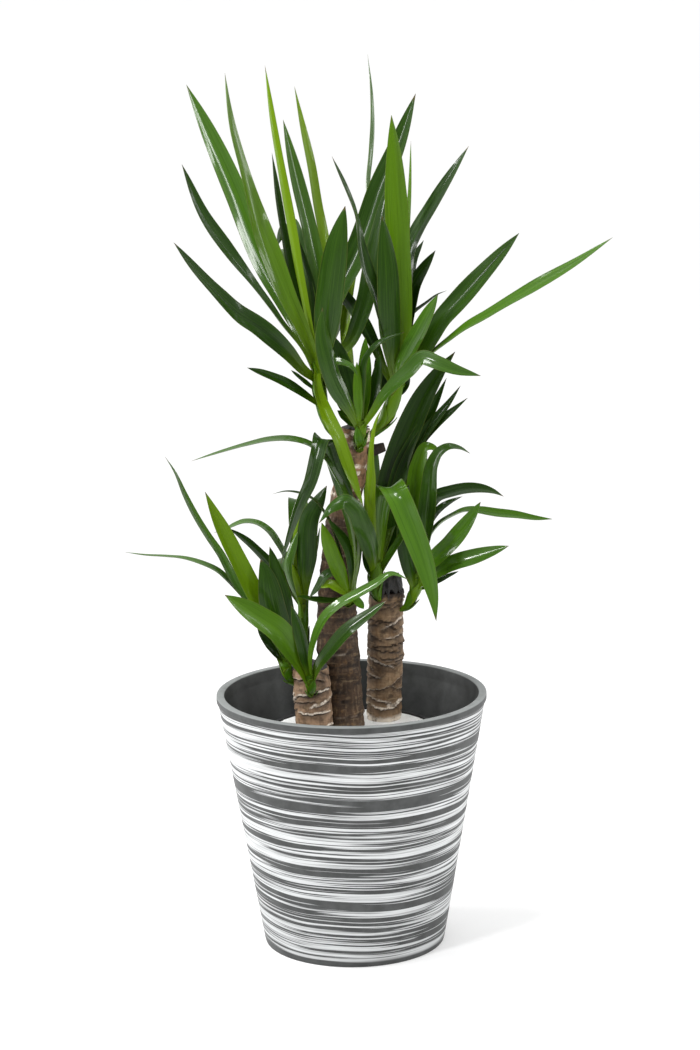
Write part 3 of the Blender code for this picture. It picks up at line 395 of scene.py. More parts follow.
                 (152, -4, 585), (167, -8, 605), (183, -12, 630)),
            leaf(24, (0.45, 0.5), (20, 20), (90, 28, 508), (108, 16, 522), (130, 8, 538), (150, 0, 546),
                 (172, -6, 552), (196, -12, 559), (222, -18, 567)),
            leaf(10, (0.1, 0), (45, 45), (90, 32, 505), (106, 34, 510), (122, 36, 518), (138, 38, 526),
                 (152, 40, 532)),
            leaf(20, (0.45, 0.1), (60, 78, 78, 45, 40), (94, 30, 524), (104, 32, 562), (114, 34, 588),
                 (126, 36, 602), (142, 38, 612), (160, 40, 619), (180, 42, 618), (205, 44, 614),
                 (232, 46, 611), (260, 50, 606), (283, 52, 604)),
            leaf(26, (0.12, 0.1), (50, 50, 45, 45), (94, 34, 526), (98, 54, 575), (108, 64, 615),
                 (122, 70, 638), (142, 74, 645), (162, 78, 649), (182, 80, 649), (202, 82, 644),
                 (215, 84, 637)),
            leaf(16, (0.1, 0.4), (45, 45), (94, 32, 522), (100, 42, 570), (114, 48, 606), (126, 52, 621),
                 (141, 56, 631), (158, 58, 638)),
            leaf(28, (0.7, 0), (20, 15, 25, 40), (92, 34, 520), (87, 37, 560), (89, 39, 610), (93, 37, 650),
                 (98, 35, 686), (108, 33, 708), (119, 26, 706), (124, 20, 692)),
            leaf(26, (0.2, 0.4), (20, 20, 50, 60), (95, 30, 526), (103, 28, 570), (108, 26, 615),
                 (112, 22, 652), (117, 18, 684), (126, 14, 700), (140, 10, 708), (155, 8, 706),
                 (169, 6, 698)),
            leaf(22, (0.1, 0), (25, 25), (90, 28, 505), (82, 20, 540), (75, 12, 575), (70, 8, 608)),
        ],
    },
    "shoot_short_front": {
        "stem": [(-55, -36, 354), (-57, -60, 364), (-58, -65, 386)],
        "radii": (4, 7, 6),
        "far": [],
        "leaves": [
            leaf(36, (0.7, 0.1), (25, 25), (-59, -62, 376), (-72, -74, 404), (-86, -86, 430),
                 (-102, -96, 451), (-126, -106, 469), (-150, -114, 486), (-175, -120, 503)),
            leaf(20, (0.15, 0), (30, 30), (-59, -62, 378), (-62, -70, 402), (-68, -76, 431),
                 (-75, -80, 460), (-82, -82, 486)),
            leaf(16, (0.6, 1), (50, 45, 30, 40), (-56, -64, 378), (-57, -78, 412), (-48, -86, 447),
                 (-34, -90, 472), (-14, -90, 489), (10, -86, 502), (35, -80, 516), (58, -74, 530),
                 (82, -70, 521)),
            leaf(21, (0.2, 0.9), (30, 30), (-55, -64, 376), (-46, -76, 400), (-27, -84, 425),
                 (-8, -88, 447), (12, -88, 463), (33, -86, 478), (50, -84, 491)),
        ],
    },
    "shoot_short_left": {
        "stem": [(-66, -28, 368), (-86, -30, 382), (-93, -32, 412)],
        "radii": (6, 8, 6),
        "far": [(-8, 190, 70), (-5, 210, 120), (-11, 150, 50)],
        "leaves": [
            leaf(28, (0.85, 0), (30, 30), (-92, -34, 410), (-97, -42, 432), (-111, -50, 464),
                 (-129, -56, 496), (-151, -62, 543), (-173, -68, 590), (-185, -72, 616), (-199, -74, 650)),
            leaf(36, (0.15, 0), (15, 15), (-91, -36, 408), (-94, -44, 432), (-101, -52, 460),
                 (-109, -58, 490), (-113, -62, 512), (-117, -64, 532), (-124, -66, 553)),
            leaf(24, (0.15, 0), (20, 20), (-89, -32, 408), (-86, -36, 440), (-88, -40, 470),
                 (-92, -42, 495), (-99, -44, 522), (-105, -46, 547), (-111, -48, 571)),
            leaf(16, (0.35, 0.5), (50, 45, 50, 60), (-93, -32, 410), (-114, -28, 458), (-138, -24, 490),
                 (-153, -20, 509), (-166, -16, 533), (-179, -12, 560), (-197, -8, 588), (-213, -4, 616),
                 (-228, 0, 648), (-240, 2, 678), (-253, 4, 700)),
            leaf(14, (0.35, 0.5), (50, 50, 55, 75, 70), (-92, -30, 408), (-106, -26, 444), (-130, -22, 478),
                 (-151, -18, 504), (-167, -14, 522), (-184, -10, 538), (-206, -4, 549), (-232, 4, 557),
                 (-258, 10, 560), (-287, 16, 562), (-313, 20, 566)),
            leaf(22, (0.1, 0), (25, 25), (-90, -34, 402), (-104, -44, 424), (-118, -52, 442),
                 (-131, -58, 460)),
            leaf(9, (0.35, 0.5), (40, 40), (-89, -36, 402), (-101, -52, 426), (-116, -60, 447)),
        ],
    },
    "shoot_short_back": {
        "stem": [(-59, -10, 376), (-64, 8, 408), (-66, 8, 455), (-66, 4, 500)],
        "radii": (6, 7.5, 7, 5.5),
        "far": [(0, 210, 90), (-8, 190, 40), (-4, 160, 130)],
        "leaves": [
            leaf(30, (0.1, 0), (15, 15), (-65, 0, 490), (-63, -4, 525), (-60, -6, 556), (-59, -8, 586),
                 (-54, -10, 613), (-42, -10, 634), (-30, -8, 656)),
            leaf(20, (0.35, 0.7), (65, 65), (-66, 6, 490), (-84, 14, 545), (-98, 18, 573), (-112, 22, 594),
                 (-128, 26, 605), (-146, 30, 607), (-161, 34, 602), (-176, 38, 594), (-188, 40, 592)),
            leaf(18, (0.1, 0.3), (45, 45), (-66, 6, 480), (-82, 14, 508), (-98, 20, 532), (-111, 24, 547),
                 (-126, 28, 563), (-142, 32, 579), (-156, 36, 590), (-168, 38, 598)),
            leaf(16, (0.35, 0.5), (30, 30), (-66, 2, 486), (-80, -2, 520), (-85, -4, 546), (-78, -6, 571),
                 (-71, -8, 592)),
            leaf(12, (0.95, 0), (30, 30), (-65, 0, 484), (-72, -6, 515), (-80, -10, 546)),
            leaf(8, (0.35, 0.5), (50, 50), (-64, 2, 490), (-58, 0, 520), (-51, -2, 546), (-45, -4, 572),
                 (-40, -4, 599)),
            leaf(14, (0.95, 0), (20, 20), (-66, 6, 492), (-72, 6, 550), (-72, 4, 590), (-66, 2, 622)),
        ],
    },
}


# Paths and blade forms


def place(station):
    """World position of a station that is given in millimetres as it shows from EYE on the plane y = 0.

    A station is (across, depth, up), and depth is how far behind that plane the point lies.
    """
    across, depth, up = (value * MM for value in station)
    on_plane = Vector((across, 0.0, up))
    return EYE + (on_plane - EYE) * ((depth - EYE.y) / -EYE.y)


def unit(rows):
    return rows / np.linalg.norm(rows, axis=-1, keepdims=True)


def ramp(values, start, width):
    """0 up to start, 1 from start + width on, and a straight rise between them."""
    return np.clip((values - start) / width, 0, 1)


def read_rows(at, marks, rows):
    """The rows, which stand at the marks, read at other places."""
    return np.stack([np.interp(at, marks, column) for column in rows.T], axis=1)


def spread(values, count):
    """The values, taken as even steps, read at count + 1 even steps."""
    return np.interp(np.linspace(0, len(values) - 1, count + 1), np.arange(len(values)), values)


def smooth_path(points, count, bend_reach=0.0):
    """count + 1 points along a smooth curve through the given points, as an array.

    They are evenly spaced, or closer where the curve turns: a radian of turn counts as bend_reach of length.
    """
    knots = np.array([tuple(point) for point in points])
    gaps = np.linalg.norm(np.diff(knots, axis=0), axis=1)
    at = np.concatenate([[0.0], np.cumsum(gaps)])
    slopes = np.gradient(knots, at, axis=0)
    fine = []
    for i, gap in enumerate(gaps):
        for t in np.linspace(0, 1, CURVE_STEPS, endpoint=False):
            a, b = 2 * t**3 - 3 * t**2 + 1, t**3 - 2 * t**2 + t
            c, d = 3 * t**2 - 2 * t**3, t**3 - t**2
            fine.append(a * knots[i] + b * gap * slopes[i] + c * knots[i + 1] + d * gap * slopes[i + 1])
    fine = np.array(fine + [knots[-1]])
    steps = np.diff(fine, axis=0)
    lengths = np.linalg.norm(steps, axis=1)
    ways = steps / lengths[:, None]
    turns = np.linalg.norm(np.diff(ways, axis=0, prepend=ways[:1]), axis=1)
    run = np.concatenate([[0.0], np.cumsum(lengths + bend_reach * turns)])
    return read_rows(np.linspace(0, run[-1], count + 1), run, fine)


def path_through(stations, count):
    return smooth_path([place(station) for station in stations], count)


def radii_of(form, count):
    return spread([radius * MM for radius in form["radii"]], count)


def tangents_of(path):
    return unit(np.gradient(path, axis=0))


def round_path(path, index, turn):
    """The path's points at those places along it, and the direction of each turn round it there."""
    tangents = tangents_of(path)
    side = unit(np.cross(tangents, (0.0, 1.0, 0.0)))
    front = np.cross(side, tangents)
    steps = np.arange(len(path))
    centre, across, ahead = (read_rows(index, steps, rows) for rows in (path, side, front))
    return centre, np.cos(turn)[:, None] * across + np.sin(turn)[:, None] * ahead


def across_vectors(path, rolls):
    """The blade's crosswise direction at each point. A positive roll turns the seen face upwards.

    Where the blade points at the eye, the direction is carried on from the point before.
    """
    tangents = tangents_of(path)
    eye = np.array(EYE)
    across = None
    facing = []
    for point, tangent in zip(path, tangents):
        flat = np.cross(tangent, unit(point - eye))
        strength = np.linalg.norm(flat)
        if across is None:
            across = flat / strength
        else:
            carried = unit(across - tangent * np.dot(across, tangent))
            if np.dot(flat, carried) < 0:
                flat = -flat
            trust = ramp(strength, *FACING_TRUST)
            across = carried * (1 - trust) + trust * flat / max(strength, TINY)
            across = unit(across - tangent * np.dot(across, tangent))
        facing.append(across)
    upward = -1.0 if facing[round(len(facing) * 0.5)][2] > 0 else 1.0
    turns = np.radians(spread(rolls, len(path) - 1)) * upward
    facing = np.array(facing)
    normals = np.cross(tangents, facing)
    return np.cos(turns)[:, None] * facing + np.sin(turns)[:, None] * normals


def blade_width(along):
    """Share of the full width at shares of the length: a clasping root, a full middle and a sharp tip."""
    ease = ramp(along, 0, LEAF_WIDEST)
    low = LEAF_ROOT_WIDTH + (1 - LEAF_ROOT_WIDTH) * ease * ease * (3 - 2 * ease)
    past = ramp(along, LEAF_WIDEST, 1 - LEAF_WIDEST)
    return np.where(along < LEAF_WIDEST, low, 1 - past**LEAF_FULLNESS)


def rooted(points, stem, radii):
    """The blade's points, with the first one drawn in to lie well inside the stem."""
    root = np.array(points[0])
    nearest = int(np.argmin(np.linalg.norm(stem - root, axis=1)))
    inward = root - stem[nearest]
    reach = max(np.linalg.norm(inward), TINY)
    sunk = stem[nearest] + inward * min(1.0, ROOT_DEPTH * radii[nearest] / reach)
    return [Vector(sunk), *points[1:]]


def far_blades(shoot, seed):
    """Blades on the far side of a shoot: (heading from straight back, reach, rise) and a drawn width."""
    draw = np.random.default_rng(seed)
    root = place(shoot["stem"][-1])
    made = []
    for heading, reach, rise in shoot["far"]:
        turn = np.radians(heading)
        out = Vector((np.sin(turn), np.cos(turn), 0.0)) * reach * MM
        climb = Vector((0, 0, rise * MM))
        base = root - Vector((0, 0, draw.uniform(*FAR_ROOT_DROP)))
        points = [base + out * reached + climb * risen for reached, risen in FAR_ROUTE]
        made.append((points, draw.uniform(*FAR_WIDTH)))
    return made


# Meshes made with Blender's own tools


def deselect_all():
    for obj in bpy.context.view_layer.objects:
        obj.select_set(False)
    bpy.context.view_layer.objects.active = None


def only(obj):
    deselect_all()
    obj.select_set(True)
    bpy.context.view_layer.objects.active = obj


@contextmanager
def editing(obj):
    only(obj)
    bpy.ops.object.mode_set(mode="EDIT")
    yield
    bpy.ops.object.mode_set(mode="OBJECT")


def fix_in_mesh(obj):
    """Moves the object's place, turn and scale into its mesh."""
    only(obj)
    bpy.ops.object.transform_apply(location=True, rotation=True, scale=True)


def apply_modifier(obj, name, kind, **settings):
    only(obj)
    modifier = obj.modifiers.new(name, kind)
    for key, value in settings.items():
        setattr(modifier, key, value)
    bpy.ops.object.modifier_apply(modifier=modifier.name)


def give_finish(obj, finish):
    obj.data.materials.clear()
    obj.data.materials.append(finish)


def name_piece(obj, name, finish, node):
    """Names the piece, rests its place in its mesh, and ties it to its solid and material slot."""
    fix_in_mesh(obj)
    obj.name = name
    obj.data.name = name
    give_finish(obj, finish)
    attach(obj, BODY)
    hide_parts(node)
    return obj


def coordinates(obj):
    held = np.empty(len(obj.data.vertices) * 3)
    obj.data.vertices.foreach_get("co", held)
    return held.reshape(-1, 3)


def move_points(obj, points):
    obj.data.vertices.foreach_set("co", np.asarray(points, dtype=np.float32).ravel())
    obj.data.update()


def paint(obj, name, *channels):
    """Stores three channels for each point, which a finish reads by their name."""
    layer = obj.data.attributes.new(name, "FLOAT_COLOR", "POINT")
    rows = np.ones((len(obj.data.vertices), 4), dtype=np.float32)
    for column, values in enumerate(channels):
        rows[:, column] = values
    layer.data.foreach_set("color", rows.ravel())


def smooth(obj, angle):
    only(obj)
    bpy.ops.object.shade_smooth_by_angle(angle=math.radians(angle))


def face_outwards(obj):
    with editing(obj):
        bpy.ops.mesh.select_all(action="SELECT")
        bpy.ops.mesh.normals_make_consistent(inside=False)


def join(pieces):
    only(pieces[0])
    for piece in pieces[1:]:
        piece.select_set(True)
    bpy.ops.object.join()
    return pieces[0]


def copy_of(blank, name):
    made = blank.copy()
    made.data = blank.data.copy()
    made.name = name
    bpy.context.scene.collection.objects.link(made)
    return made


def rod(name, sides, cells):
    """A closed upright rod of radius 1 and height 1 on the floor, its side cut into rings of cells."""
    deselect_all()
    bpy.ops.mesh.primitive_cylinder_add(vertices=sides, radius=1, depth=1, location=(0, 0, 0.5),
                                        end_fill_type="TRIFAN")
    obj = bpy.context.object
    obj.name = name
    fix_in_mesh(obj)
    with editing(obj):
        shape = bmesh.from_edit_mesh(obj.data)
        for edge in shape.edges:
            edge.select_set(abs(edge.verts[0].co.z - edge.verts[1].co.z) > 0.5)
        bmesh.update_edit_mesh(obj.data)
        bpy.ops.mesh.subdivide(number_cuts=cells - 1)
    return obj


def bend_rod(obj, path, radii, relief):
    """Lays a rod along a path. relief(share, turn, height) adds to the radius. Returns share and turn."""
    points = coordinates(obj)
    share = np.clip(points[:, 2], 0, 1)
    turn = np.arctan2(points[:, 1], points[:, 0])
    off_axis = np.hypot(points[:, 0], points[:, 1])
    index = share * (len(path) - 1)
    centre, out = round_path(path, index, turn)
    radius = np.interp(index, np.arange(len(path)), radii) + relief(share, turn, centre[:, 2])
    move_points(obj, centre + (off_axis * radius)[:, None] * out)
    return share, turn


# Finishes made of nodes


def math_node(operation, reflected=False):
    """One of Wire's operators: it adds a Math node."""

    def add_node(self, other=None):
        values = (other, self) if reflected else (self, other)
        inputs = {number: value for number, value in enumerate(values) if value is not None}
        return self.finish.node("ShaderNodeMath", {"operation": operation}, inputs)

    return add_node


class Wire:
    """One node's output. Python's operators on it add Math nodes."""

    def __init__(self, finish, socket):
        self.finish = finish
        self.socket = socket

    __add__ = math_node("ADD")
    __radd__ = math_node("ADD", reflected=True)
    __sub__ = math_node("SUBTRACT")
    __rsub__ = math_node("SUBTRACT", reflected=True)
    __mul__ = math_node("MULTIPLY")
    __rmul__ = math_node("MULTIPLY", reflected=True)
    __pow__ = math_node("POWER")
    __abs__ = math_node("ABSOLUTE")
    wave = math_node("SINE")

    def between(self, low, high):
        """0 below low, 1 above high and a smooth step between them."""
        settings = {"interpolation_type": "SMOOTHSTEP"}
        inputs = {"Value": self, "From Min": low, "From Max": high}
        return self.finish.node("ShaderNodeMapRange", settings, inputs)


class Finish:
    """A procedural material: a Principled shader with constants, and the nodes that feed it."""

    def __init__(self, name, **constants):
        self.material = bpy.data.materials.new(name)
        self.material.use_nodes = True
        self.tree = self.material.node_tree
        self.shader = self.tree.nodes["Principled BSDF"]
        for socket, value in constants.items():
            self.shader.inputs[socket.replace("_", " ")].default_value = value

    def node(self, kind, settings=None, inputs=None, output=0):
        made = self.tree.nodes.new(kind)
        for key, value in (settings or {}).items():
            setattr(made, key, value)
        for key, value in (inputs or {}).items():
            self.feed(made.inputs[key], value)
        return Wire(self, made.outputs[output])

    def feed(self, socket, value):
        if isinstance(value, Wire):
            self.tree.links.new(value.socket, socket)
        else:
            socket.default_value = value

    def give(self, socket, value):
        self.feed(self.shader.inputs[socket], value)

    def place_of(self):
        """Object coordinates as (vector, x, y, z)."""
        held = self.node("ShaderNodeTexCoord", output="Object")
        split = self.node("ShaderNodeSeparateXYZ", inputs={0: held}).socket.node
        return held, *(Wire(self, split.outputs[axis]) for axis in "XYZ")

    def channels(self, name):
        """The three channels of a painted attribute."""
        held = self.node("ShaderNodeAttribute", {"attribute_name": name}, output="Color")
        split = self.node("ShaderNodeSeparateColor", inputs={0: held}).socket.node
        return [Wire(self, split.outputs[key]) for key in ("Red", "Green", "Blue")]

    def vector(self, x, y, z):
        return self.node("ShaderNodeCombineXYZ", inputs={"X": x, "Y": y, "Z": z})

    def noise(self, vector, scale, detail=2.0, roughness=0.5):
        inputs = {"Vector": vector, "Scale": scale, "Detail": detail, "Roughness": roughness}
        return self.node("ShaderNodeTexNoise", inputs=inputs, output="Fac")

    def cells(self, vector, scale):
        return self.node("ShaderNodeTexVoronoi", inputs={"Vector": vector, "Scale": scale}, output="Distance")

    def blend(self, share, first, second):
        """first where share is 0 and second where it is 1. Each is a colour."""
        inputs = {0: share}
        for socket, colour in ((6, first), (7, second)):
            inputs[socket] = colour if isinstance(colour, Wire) else (*colour[:3], 1.0)
        return self.node("ShaderNodeMix", {"data_type": "RGBA"}, inputs, output=2)

    def layers(self, base, *coats):
        """The base colour under coats, which are (share, colour) and lie one over another."""
        for share, colour in coats:
            base = self.blend(share, base, colour)
        return base

    def done(self, colour, roughness, height, strength, distance):
        """Feeds the shader its colour, roughness and bumps. Returns the material."""
        self.give("Base Color", colour)
        self.give("Roughness", roughness)
        inputs = {"Height": height, "Strength": strength, "Distance": distance}
        self.give("Normal", self.node("ShaderNodeBump", inputs=inputs, output="Normal"))
        return self.material


def times(colour, factor):
    return [channel * factor for channel in colour]


def planter_finish(sizes):
    """Charcoal with brushed silver-white streaks that run round it, painted shade on the streaks towards the
    bottom, and a plain lip, foot and inside.
    """
    finish = Finish("streaked_charcoal", IOR=1.45)
    held, x, y, z = finish.place_of()
    reach = (x * x + y * y) ** 0.5
    sway = finish.noise(finish.vector(x, y, z * 0.6), 5.0, 1.0)
    drift = z + x * 0.012 + sway * 0.014
    wide = finish.noise(finish.vector(x * 2.6, y * 2.6, drift * STREAKS_PER_M[0]), 1.0, 1.0)
    narrow = finish.noise(finish.vector(x * 4.2 + 7, y * 4.2, drift * STREAKS_PER_M[1]), 1.0, 1.0)
    hair = finish.noise(finish.vector(x * 10, y * 10 + 3, drift * STREAKS_PER_M[2]), 1.0, 1.0, 0.6)
    height = wide * 0.42 + narrow * 0.46 + hair * 0.12
    level = STREAK_LEVEL + sizes.streak_cover
    streak = height.between(level, level + 0.014)
    bare = height.between(level + 0.012, level + 0.07)
    # Only the outside of the wall is streaked, from just above the foot to just under the lip
    above_foot = z.between(PLANTER_FOOT_RISE, PLANTER_FOOT_RISE + 0.005)
    wall = above_foot * (1 - z.between(PLANTER_BODY_TOP - 0.0012, PLANTER_BODY_TOP - 0.0004))
    flare = (PLANTER_BODY_TOP_R - PLANTER_FOOT_R) / PLANTER_BODY_TOP
    outside = (reach - (PLANTER_FOOT_R - 0.004) - z * flare).between(0, 0.001)
    painted = streak * wall * outside
    lip = z.between(PLANTER_HEIGHT - 0.0015, PLANTER_HEIGHT - 0.0004)
    mottle = finish.noise(held, 38.0, 4.0, 0.6)
    smear = finish.noise(finish.vector(x * 30, y * 30, z * 9), 1.0, 4.0, 0.65)
    # Painted shade: the streaks are darkened towards the bottom of the wall
    painted_low_shade = (1 - z.between(0.02, 0.20)) * 0.35
    cloudy = times(sizes.charcoal, 1.8)
    ground = finish.layers(
        sizes.charcoal,
        (mottle.between(0.3, 0.7), cloudy),
        (lip * 0.9, times(sizes.charcoal, 6.0)),
        (smear.between(0.45, 0.8) * (1 - outside) * 0.6, cloudy),
    )
    silver = finish.layers(
        times(sizes.streak, 0.34),
        (bare * 0.75 + hair * 1.5 - 0.62, sizes.streak),
        (painted_low_shade, times(sizes.streak, 0.5)),
    )
    body = finish.blend(painted * (0.86 + mottle * 0.2), ground, silver)
    return finish.done(body, 0.5 - painted * 0.08 + mottle * 0.08, painted * 0.5 + hair * 0.3, 0.35, 0.0006)


def leaf_finish(name, sizes):
    """A waxy blade: parallel veins, paler foot, brown tip and thin rough margins. Stems are ringed, with
    painted shadow past each ring's step.
    """
    finish = Finish(name, IOR=1.45, Specular_IOR_Level=0.14, Coat_Roughness=0.10, Coat_IOR=1.6)
    held = finish.place_of()[0]
    tone, sheen, stem = finish.channels("look")
    across, along, draw = finish.channels("grid")
    off_rib = abs(across - 0.5) * 2
    mottle = finish.noise(held, 22.0, 3.0, 0.6)
    lines = finish.noise(finish.vector(across * 30, along * 2.2, draw * 50), 1.0, 2.0, 0.6)
    broad = finish.noise(finish.vector(across * 5, along * 1.6, draw * 70 + 9), 1.0, 1.0)
    blade = finish.layers(
        finish.blend(broad, sizes.dark, sizes.dark_warm),
        # The blade's tone: partly its own green, partly painted shade on blades that lie in shadow
        (tone.between(0.0, 0.55), finish.blend(broad, sizes.mid, sizes.bright)),
        (tone.between(0.6, 1.0), sizes.lime),
        ((1 - along.between(0.03, 0.30)) * 0.65, sizes.lime),
        # Painted sheen: pale silver mixed into glossy blades
        (sheen * 0.06, sizes.silver),
        (lines.between(0.46, 0.72) * 0.22, sizes.bright),
        ((1 - lines.between(0.28, 0.5)) * 0.30, sizes.dark),
        (off_rib.between(0.93, 0.985) * 0.5, sizes.margin),
        (along.between(0.965, 0.992) * mottle.between(0.3, 0.6) * 0.85, sizes.tip),
    )
    free_edge = draw.between(0.86, 0.96) * stem
    # Painted shadow on the stem just past each ring's step
    painted_step_shadow = (1 - draw.between(0.0, 0.22)) * stem
    sheath = finish.layers(
        sizes.stem,
        (mottle.between(0.3, 0.7), sizes.mid),
        (lines.between(0.5, 0.7) * 0.4, sizes.bright),
        ((1 - along.between(0.0, 0.35)) * 0.6, sizes.lime),
        (free_edge * 0.6, sizes.lime),
        (painted_step_shadow * 0.75, sizes.dark),
    )
    finish.give("Coat Weight", (0.14 + sheen * 0.86) * lines.between(0.25, 0.6) * (1 - stem))
    roughness = 0.30 - sheen * 0.08 + lines * 0.10 + stem * 0.15
    return finish.done(finish.blend(stem, blade, sheath), roughness, lines * 0.6 + broad * 0.8, 0.45, 0.0008)


def bark_finish(name, sizes, pale, crust, fibre):
    """Bark: painted shade in the groove under each leaf scar, a whitish torn edge above it that is partly a
    painted highlight, painted highlights on the plates, and fibres of that strength.

    pale is the ground colour, and crust is the colour at the foot or of the young bark.
    """
    finish = Finish(name, IOR=1.4)
    held, x, y, z = finish.place_of()
    edge, crease, foot = finish.channels("scars")
    grain = finish.noise(finish.vector(x * 260, y * 260, z * 42), 1.0, 4.0, 0.65)
    cross = finish.noise(finish.vector(x * 45, y * 45, z * 380), 1.0, 3.0, 0.6)
    patch = finish.noise(held, 60.0, 4.0, 0.65)
    rust_and_highlight = finish.noise(held, 95.0, 2.0, 0.6)
    speck = finish.noise(held, 420.0, 3.0, 0.7)
    torn = 0.25 + speck.between(0.3, 0.6) * 0.75
    # Whitish torn scar edges, partly a painted highlight on the scar ridges
    scar = (edge * 1.5).between(0.1, 1.0) * torn * (0.3 + rust_and_highlight.between(0.36, 0.5) * 0.7)
    body = finish.layers(
        pale,
        (patch.between(0.42, 0.68) * 0.8, sizes.bark_dark),
        (rust_and_highlight.between(0.56, 0.72) * 0.55, sizes.bark_rust),
        ((1 - grain.between(0.3, 0.55)) * (0.2 + fibre * 0.5), sizes.crease),
        (grain.between(0.55, 0.75) * (0.1 + fibre * 0.25), sizes.bark_light_and_highlight),
        (cross.between(0.56, 0.72) * 0.4, sizes.crease),
        ((1 - cross.between(0.30, 0.42)) * 0.35, sizes.bark_light_and_highlight),
        # Painted highlight: light patches on the bark plates
        ((1 - rust_and_highlight.between(0.30, 0.46)) * (0.45 - fibre * 0.25), sizes.bark_light_and_highlight),
        # Painted shade under each leaf scar, and the charred top of the middle cane
        (crease * 0.95, sizes.crease),
        (foot * patch.between(0.35, 0.6) * 0.9, crust),
        (scar, sizes.scar),
    )
    height = grain * (0.3 + fibre * 0.4) + cross * 0.5 + speck * 0.3 + edge * 0.6
    return finish.done(body, 0.55 + patch * 0.25 - scar * 0.1, height, 0.8, 0.0018)


def seal_finish():
    """Dark wound seal: tarry lumps with a dull skin."""
    finish = Finish("cane_seal", IOR=1.5)
    held = finish.place_of()[0]
    lump = finish.noise(held, 160.0, 5.0, 0.65)
    dust = finish.noise(held, 700.0, 2.0, 0.6)
    body = finish.layers(
        (0.006, 0.006, 0.006),
        (lump.between(0.35, 0.7), (0.035, 0.030, 0.026)),
        (dust.between(0.62, 0.8) * 0.5, (0.16, 0.13, 0.11)),
    )
    return finish.done(body, 0.35 + lump * 0.4, lump, 0.8, 0.002)


def dressing_finish():
    """White chips: bright grains with faint shadows between them."""
    finish = Finish("white_chips", IOR=1.45)
    held = finish.place_of()[0]
    grains = finish.cells(held, 420.0)
    patch = finish.noise(held, 30.0, 3.0, 0.6)
    body = finish.layers(
        (0.97, 0.97, 0.96),
        (grains.between(0.25, 0.75), (0.88, 0.88, 0.87)),
        (patch.between(0.5, 0.8) * 0.2, (0.88, 0.87, 0.84)),
    )
    return finish.done(body, 0.75 + patch * 0.2, 1 - grains, 0.5, 0.0015)


def soil_finish():
    """Dark crumbly potting mix with paler fibres."""
    finish = Finish("potting_mix", IOR=1.4)
    held = finish.place_of()[0]
    crumb = finish.noise(held, 260.0, 6.0, 0.7)
    fleck = finish.cells(held, 190.0)
    body = finish.layers(
        (0.012, 0.008, 0.005),
        (crumb.between(0.3, 0.7), (0.07, 0.045, 0.028)),
        ((1 - fleck.between(0.05, 0.2)) * 0.6, (0.20, 0.15, 0.10)),
    )
    return finish.done(body, 0.85 + crumb * 0.1, crumb, 0.9, 0.003)


def nursery_finish():
    """Thin black moulded plastic with faint turning lines and scuffs."""
    finish = Finish("nursery_pot_black", IOR=1.46)
    held, _, _, z = finish.place_of()
    lines = (z * TURNING_LINES_PER_M).wave()
    scuff = finish.noise(held, 55.0, 5.0, 0.65)
    body = finish.blend(scuff.between(0.55, 0.75) * 0.5, (0.010, 0.010, 0.011), (0.055, 0.055, 0.055))
    return finish.done(body, 0.42 + scuff * 0.25, lines * 0.3 + scuff, 0.2, 0.0004)


# The planter and what it holds


def turned_piece(name, profile, sides):
    """A round piece raised from one circle: it is extruded and resized along (radius, height) steps."""
    deselect_all()
    radius, height = profile[0]
    bpy.ops.mesh.primitive_circle_add(vertices=sides, radius=radius, fill_type="NGON",
                                      location=(0, 0, height))
    obj = bpy.context.object
    obj.name = name
    with editing(obj):
        for (old_r, old_z), (new_r, new_z) in zip(profile, profile[1:]):
            bpy.ops.mesh.extrude_region_move(TRANSFORM_OT_translate={"value": (0, 0, new_z - old_z)})
            share = new_r / old_r
            bpy.ops.transform.resize(value=(share, share, 1), center_override=(0, 0, 0))
    face_outwards(obj)
    return obj


def rounded(profile, radius, steps=4):
    """The profile with each inner corner replaced by a small arc of that radius."""
    made = [Vector(profile[0])]
    for before, corner, after in zip(profile, profile[1:], profile[2:]):
        corner = Vector(corner)
        back = Vector(before) - corner
        on = Vector(after) - corner
        cut = min(radius, back.length * CORNER_SHARE, on.length * CORNER_SHARE)
        start = corner + back.normalized() * cut
        end = corner + on.normalized() * cut
        for i in range(steps + 1):
            t = i / steps
            made.append(start * (1 - t) ** 2 + corner * 2 * t * (1 - t) + end * t * t)
    made.append(Vector(profile[-1]))
    return [tuple(point) for point in made]


def build_planter(sizes):
    inner_lip_r = PLANTER_LIP_R - PLANTER_LIP_WIDTH
    profile = [
        (PLANTER_CENTRE_R, 0.0),
        (PLANTER_FOOT_R - PLANTER_CHAMFER, 0.0),
        (PLANTER_FOOT_R, PLANTER_FOOT_RISE),
        (PLANTER_BODY_TOP_R, PLANTER_BODY_TOP),
        (PLANTER_LIP_R, PLANTER_BODY_TOP + PLANTER_LIP_SEAM),
        (PLANTER_LIP_R, PLANTER_HEIGHT),
        (inner_lip_r, PLANTER_HEIGHT),
        (inner_lip_r - PLANTER_CHAMFER, PLANTER_BODY_TOP - PLANTER_LIP_HEIGHT),
        (PLANTER_FOOT_R - PLANTER_WALL, PLANTER_FLOOR),
        (PLANTER_CENTRE_R, PLANTER_FLOOR),
    ]
    obj = turned_piece("planter", rounded(profile, sizes.lip_round), PLANTER_SIDES)
    smooth(obj, 35)
    name_piece(obj, "planter_body", planter_finish(sizes), "planter")


# Canes


